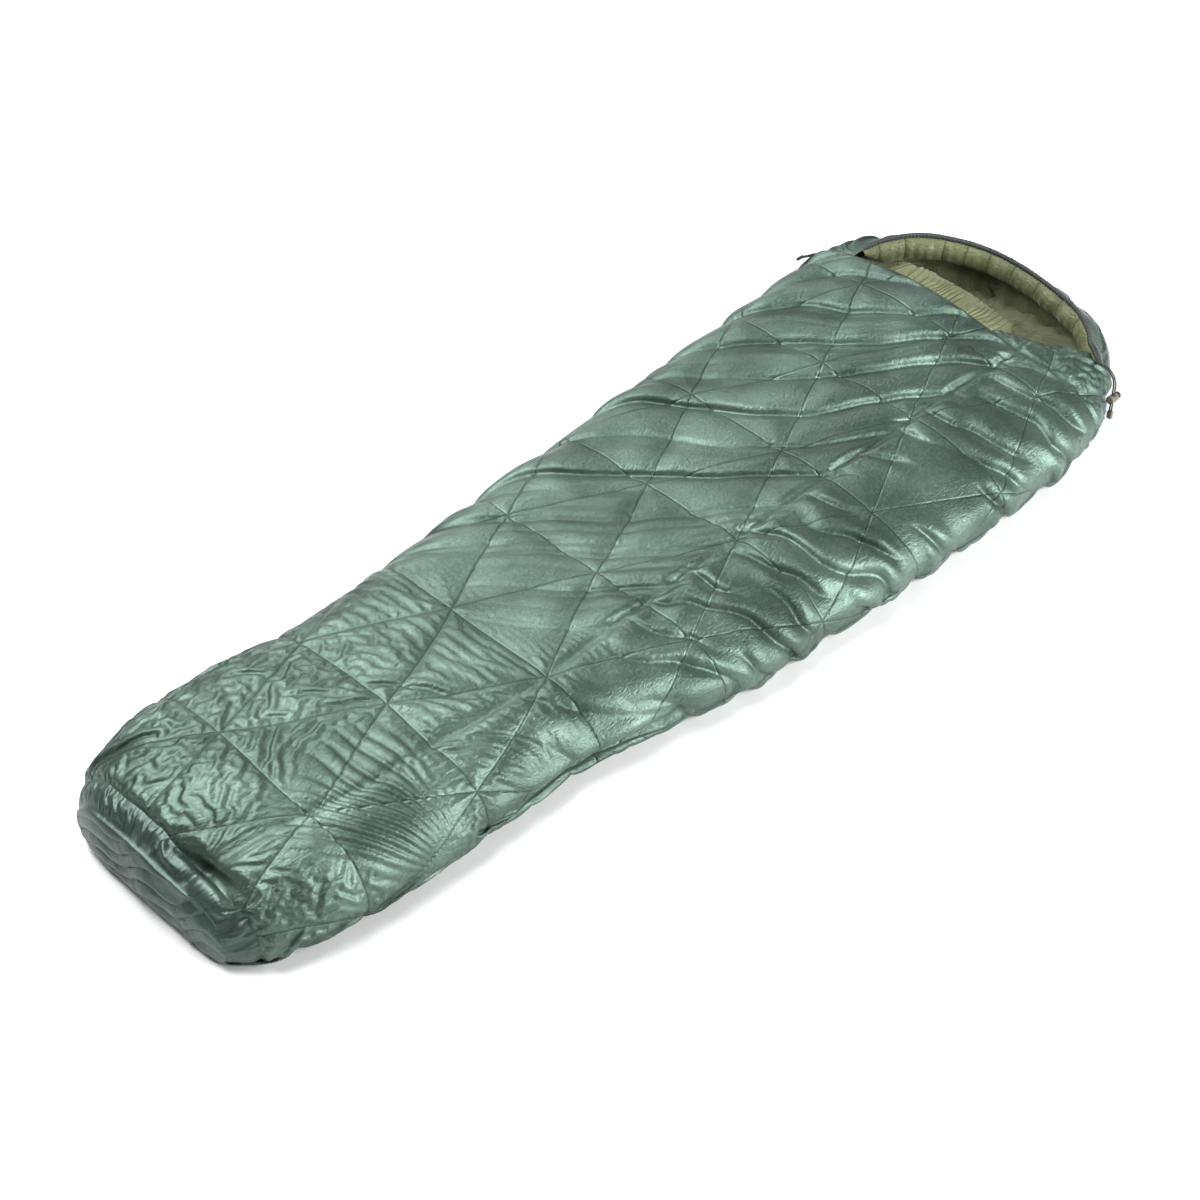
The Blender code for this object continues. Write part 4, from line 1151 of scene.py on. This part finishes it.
def rim_pieces(looks):
    """The facing that closes the hood's rim, the hem of the opening's near edge, and the
    gathered binding with the drawcord."""
    section = 0.058
    line = rim_line()
    distance = distances(line)

    def facing(share, k):
        at = distance[k]
        place = at + 0.022 * float(lattice_noise(at / 0.09, 2.0, 111))
        size = 0.0075 + 0.0045 * float(lattice_noise(at / 0.075, 5.0, 112))
        gather = size * float(pillow(np.float64(place / section), 0.8, 0.6))
        gather += 0.0015 * math.sin(at * 300) + 0.002 * lattice_noise(at / 0.03, 0.0, 113)
        ends = min(1.0, 0.2 + min(share, 1 - share) * 9)
        puff = (0.006 + gather) * ends
        return [(-0.006, -0.001), (-0.0015, 0.0022), (0.003, 0.0010), (0.0045 + puff * 0.4, -0.005),
                (0.005 + puff * 0.8, -0.014 * ends), (0.005 + puff, -0.028 * ends),
                (0.003 + puff * 0.7, -0.042 * ends), (-0.004, -0.054 * ends), (-0.016, -0.058 * ends)]

    # The facing ends before the rim's own end, which lies beside the seam.
    line, distance = line[:-6], distance[:-6]
    points = swept(line, facing)
    uv = swept_uv(distance, points.shape[1], 0.008)
    places = uv[..., 0]
    stitches = places + 0.022 * lattice_noise(places / 0.09, np.full(places.shape, 2.0), 111)
    seams = np.full(points.shape, 0.05)
    seams[..., 0] = np.sin(math.pi * stitches / section) * section / math.pi
    obj = grid_mesh("rim_facing", points, uv, seams)
    wear(obj, looks["liner"])
    subdivide(obj)
    place_piece(obj, "bag", "liner_fabric")

    edge = even_steps(MOUTH_TAIL, 60)
    line = np.array([(a - LENGTH / 2, y, crown_height(a, y) - 0.0095) for a, y in edge])
    obj = roll("opening_hem", line, 0.0112, looks["shell"], 300, 115)
    place_piece(obj, "bag", "shell_fabric")

    sides = 14
    fine = rim_line(640)
    far = distances(fine)

    def binding(share, k):
        pucker = 1 + 0.13 * math.sin(far[k] * 820 + 2 * float(lattice_noise(far[k] / 0.012, 0.0, 117)))
        pucker += 0.10 * float(lattice_noise(far[k] / 0.009, 3.0, 119))
        size = pucker * min(1.0, 0.25 + min(share, 1 - share) * 60)
        return [(0.0045 * size * math.cos(angle), 0.0052 + 0.0050 * size * math.sin(angle))
                for angle in round_angles(sides)]

    points, uv = swept(fine, binding), swept_uv(far, sides, 0.0022)
    obj = sleeve_mesh("rim_binding", points, uv, looks["binding"])
    place_piece(obj, "bag", "binding", "hood_drawcord_channel")


def round_angles(sides):
    return [2 * math.pi * n / sides for n in range(sides)]


def subdivide(obj):
    """Smooths a mesh by subdivision, and keeps the result as its mesh."""
    modifier = obj.modifiers.new("smooth", "SUBSURF")
    modifier.levels = modifier.render_levels = 1
    graph = bpy.context.evaluated_depsgraph_get()
    bpy.context.view_layer.update()
    mesh = bpy.data.meshes.new_from_object(obj.evaluated_get(graph))
    obj.modifiers.clear()
    obj.data = mesh
    mesh.shade_smooth()


# ---------------------------------------------------------------- rolls
def roll(name, line, radius, material, gathers, seed):
    """A padded roll of cloth with gathers, closed at its ends."""
    sides = 28
    distance = distances(line)

    def profile(share, k):
        at = distance[k]
        ends = min(1.0, math.sqrt(max(0.0, min(at, distance[-1] - at)) / (radius * 0.9)) + 0.02)
        ring = []
        for angle in round_angles(sides):
            fold = math.sin(at * gathers + 2.4 * float(lattice_noise(at / 0.02, angle * 1.2, seed)))
            soft = float(lattice_noise(at / 0.014, angle * 1.6, seed + 2))
            size = radius * ends * (0.86 + 0.085 * fold + 0.09 * soft)
            ring.append((size * math.cos(angle), size * math.sin(angle)))
        return ring

    return sleeve_mesh(name, swept(line, profile), swept_uv(distance, sides, radius * 0.22), material)


def collar(line, material):
    """The draft collar: a wide flap of gathered lining, filled with wadding, whose head
    side lies on the hood's floor beyond the lid's edge."""
    line = even_steps(line + (0.037, 0.0, 0.009), 260)
    distance, sides = distances(line), 36

    def profile(share, k):
        at = distance[k]
        to_end = min(at, distance[-1] - at) / 0.020
        ends = math.sqrt(max(0.0, min(1.0, to_end))) * 0.97 + 0.03
        ring = []
        for angle in round_angles(sides):
            phase = at / 0.0125 + 1.3 * float(lattice_noise(at / 0.03, angle * 0.8, 121))
            fold = float(pillow(np.float64(phase), 0.8, 0.7)) - 0.5
            soft = float(lattice_noise(at / 0.022, angle * 1.2, 123))
            wide = 0.050 + 0.004 * soft + 0.003 * fold
            thick = (0.0150 + 0.003 * soft) * math.sin(angle)
            thick += 0.0060 * fold * abs(math.sin(angle)) ** 0.5
            ring.append((wide * ends * math.cos(angle), ends * thick))
        return ring

    return sleeve_mesh("collar_roll", swept(line, profile), swept_uv(distance, sides, 0.006), material)


def node_axis_line(node, count):
    """The middle line of a long CAD solid, from its own vertices in slices along its run."""
    verts = np.array([tuple(v.co) for v in NODES[node].data.vertices])
    middle = verts.mean(axis=0)
    run = np.linalg.svd(verts - middle, full_matrices=False)[2][0]
    if run[np.argmax(np.abs(run))] < 0:
        run = -run
    place = (verts - middle) @ run
    centres = []
    slices = np.linspace(place.min(), place.max(), 16)
    for low_end, high_end in zip(slices, slices[1:]):
        inside = verts[(place >= low_end - 1e-6) & (place <= high_end + 1e-6)]
        if len(inside):
            centres.append((inside.min(axis=0) + inside.max(axis=0)) / 2)
    return even_steps(np.array(centres), count)


def make_rolls(looks):
    """The draft collar under the lid's head edge and the draft tube behind the zip."""
    line = node_axis_line("draft_collar", 110)
    obj = collar(line, looks["liner"])
    place_piece(obj, "top_quilt", "liner_fabric", "draft_collar")
    line = node_axis_line("draft_tube", 420)
    obj = roll("draft_tube_roll", line, 0.0128, looks["liner"], 150, 131)
    place_piece(obj, "bag", "liner_fabric", "draft_tube")


# ---------------------------------------------------------------- zip, tab and cords
def zip_axes():
    """Home of the slider, and the directions along the zip, outward and up."""
    foot = Vector((FOOTBOX_END - LENGTH / 2, *ZIP_FOOT))
    head = Vector((HEAD_EDGE - LENGTH / 2, *ZIP_HEAD))
    along = (head - foot).normalized()
    outward = Vector((0, 1, 0))
    outward = (outward - along * outward.dot(along)).normalized()
    home = foot.lerp(head, (SLIDER_HOME - FOOTBOX_END) / (HEAD_EDGE - FOOTBOX_END))
    return home, along, outward, along.cross(outward)


def coil(name, node, body, height, shift, looks):
    """One side of the zip: a nylon spring whose turns stand between the other side's."""
    home, along, outward, upward = zip_axes()
    low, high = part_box(node)
    start = (Vector((low.x, 0, 0)) - home).x / along.x
    end = (Vector((high.x, 0, 0)) - home).x / along.x
    pitch, per_turn, wire = 0.0021, 8, 0.00032
    steps = np.arange((int((end - start) / pitch) - 1) * per_turn + 1)
    angle = 2 * math.pi * steps / per_turn
    run = start + 0.5 * pitch + shift * pitch + pitch * steps / per_turn
    out = -0.0009 + 0.00078 * np.cos(angle)
    up = height + 0.00068 * np.sin(angle)
    axes = np.array([tuple(along), tuple(outward), tuple(upward)])
    line = np.array(tuple(home)) + np.stack([run, out, up], axis=1) @ axes
    ahead = np.gradient(line, axis=0)
    ahead /= np.linalg.norm(ahead, axis=1, keepdims=True)
    first = np.cross(ahead, axes[0])
    first /= np.linalg.norm(first, axis=1, keepdims=True)
    second = np.cross(ahead, first)
    rings = np.stack([line + wire * (first * math.cos(a) + second * math.sin(a))
                      for a in round_angles(4)], axis=1)
    obj = sleeve_mesh(name, rings, np.zeros((*rings.shape[:2], 2)), looks["coil"])
    place_piece(obj, body, "zip_coil", node)


def lid_tape(looks):
    """The lid's half of the zip's tape, cut across into short lengths."""
    pieces = 90
    bm = bmesh.new()
    bm.from_mesh(NODES["zip_tape_top"].data)
    bmesh.ops.transform(bm, matrix=NODES["zip_tape_top"].matrix_world, verts=bm.verts)
    low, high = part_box("zip_tape_top")
    for k in range(1, pieces):
        place = low.x + (high.x - low.x) * k / pieces
        parts = [*bm.verts, *bm.edges, *bm.faces]
        bmesh.ops.bisect_plane(bm, geom=parts, plane_co=(place, 0, 0), plane_no=(1, 0, 0))
    mesh = bpy.data.meshes.new("lid_tape")
    bm.to_mesh(mesh)
    bm.free()
    obj = new_object("lid_tape", mesh)
    wear(obj, looks["tape"])
    place_piece(obj, "lid", "zip_tape", "zip_tape_top")


def make_cords(looks):
    """The two strands of the drawcord that leave the hood's near corner."""
    for name, route in TAIL_ROUTES.items():
        curve = bpy.data.curves.new(f"tail_{name}_strand", "CURVE")
        curve.dimensions = "3D"
        curve.bevel_depth = CORD_RADIUS
        curve.bevel_resolution = 4
        curve.use_fill_caps = True
        spline = curve.splines.new("POLY")
        spline.points.add(len(route) - 1)
        for point, (y, z) in zip(spline.points, route):
            point.co = (TAIL_X, y, z, 1.0)
        obj = new_object(f"tail_{name}_strand", curve)
        obj.data.materials.append(looks["cord"])
        place_piece(obj, "bag", "drawcord", f"drawcord_tail_{name}")
        others = ["cord_end_tab"]
        if name == "outer":
            others = ["cord_lock_body", "cord_lock_plunger", "cord_lock_spring", *others]


def dress_frame(looks):
    """Better materials and softened edges for the CAD solids that stay in view."""
    plans = {
        "tape": ["zip_tape_bottom"], "cord": ["hood_drawcord"], "webbing": ["closure_tab"],
        "hooks": ["closure_hook_patch"], "rubber": ["closure_tab_end"], "loops": ["closure_loop_patch"],
        "lock": ["cord_end_tab", "cord_lock_body"], "button": ["cord_lock_plunger"],
        "metal": ["zip_top_stop", "zip_bottom_stop", "zip_slider", "zip_pull_outer", "zip_pull_inner",
                  "cord_lock_spring"],
    }
    for look, nodes in plans.items():
        for node in nodes:
            wear(NODES[node], looks[look])
    softened = {
        0.0003: ["zip_slider", "zip_pull_outer", "zip_pull_inner"],
        0.0004: ["zip_top_stop", "zip_bottom_stop", "cord_end_tab"],
        0.0005: ["cord_lock_plunger"],
        0.0006: ["cord_lock_body"],
    }
    for width, nodes in softened.items():
        for node in nodes:
            round_edges = NODES[node].modifiers.new("round", "BEVEL")
            round_edges.width = width
            round_edges.segments = 2
            round_edges.limit_method = "ANGLE"


def make_looks():
    moulded = {"roughness": 0.45, "scale": 700.0, "depth": 0.00005, "variety": 0.15}
    return {
        "shell": cloth_material("shell_cloth", (0.036, 0.061, 0.050), (0.070, 0.112, 0.091),
                                (0.135, 0.204, 0.167), 0.40, 0.68, sheen=0.03, crinkle=0.9),
        # The footbox's end panel: the shell cloth's colours made darker, as painted shade for the end
        # that faces away from the lamps.
        "end": cloth_material("end_cloth_painted_shade", (0.030, 0.052, 0.045), (0.050, 0.080, 0.069),
                              (0.082, 0.124, 0.107), 0.40, 0.60, sheen=0.02, crinkle=0.8),
        "liner": cloth_material("liner_cloth", (0.070, 0.078, 0.032), (0.125, 0.138, 0.062),
                                (0.205, 0.220, 0.108), 0.46, 0.15, grid_depth=0.0, crinkle=1.6),
        "binding": cloth_material("binding_cloth", (0.012, 0.017, 0.015), (0.022, 0.030, 0.027),
                                  (0.045, 0.058, 0.052), 0.55, 0.0, grid_depth=0.0),
        "wadding": solid_material("wadding_fibre", (0.72, 0.72, 0.70), 0.95, scale=300.0, depth=0.001,
                                  variety=0.1, sheen=0.3),
        "tape": woven_material("zip_tape_weave", (0.020, 0.026, 0.024), 0.8),
        "coil": solid_material("zip_coil_nylon", (0.020, 0.024, 0.023), 0.35),
        "metal": solid_material("zip_metal_plate", (0.30, 0.31, 0.31), 0.34, 1.0, 900.0, 0.00003, 0.2),
        "cord": woven_material("drawcord_braid", (0.035, 0.040, 0.036), 0.75, 0.0009),
        "webbing": woven_material("tab_webbing_weave", (0.022, 0.026, 0.025), 0.7, 0.0014),
        "hooks": solid_material("hook_tape", (0.40, 0.42, 0.40), 0.8, 0.0, 2500.0, 0.0004, 0.3),
        "loops": solid_material("loop_tape", (0.030, 0.036, 0.034), 0.95, scale=1800.0, depth=0.0005,
                                variety=0.4, sheen=0.4),
        "rubber": solid_material("tab_end_rubber_look", (0.016, 0.018, 0.018), 0.5),
        "lock": solid_material("lock_plastic_look", (0.115, 0.100, 0.080), **moulded),
        "button": solid_material("plunger_plastic_look", (0.050, 0.046, 0.040), **moulded),
    }


def make_scene():
    make_camera()
    looks = make_looks()
    make_cords(looks)
    make_studio()
    cover = make_cover()
    make_quilts(cover, looks)
    end_panel(cover, looks)
    make_hood(looks)
    rim_pieces(looks)
    make_rolls(looks)
    coil("coil_top", "zip_coil_top", "lid", 0.00135, 0.0, looks)
    coil("coil_bottom", "zip_coil_bottom", "bag", -0.00135, 0.5, looks)
    lid_tape(looks)
    dress_frame(looks)


make_scene()
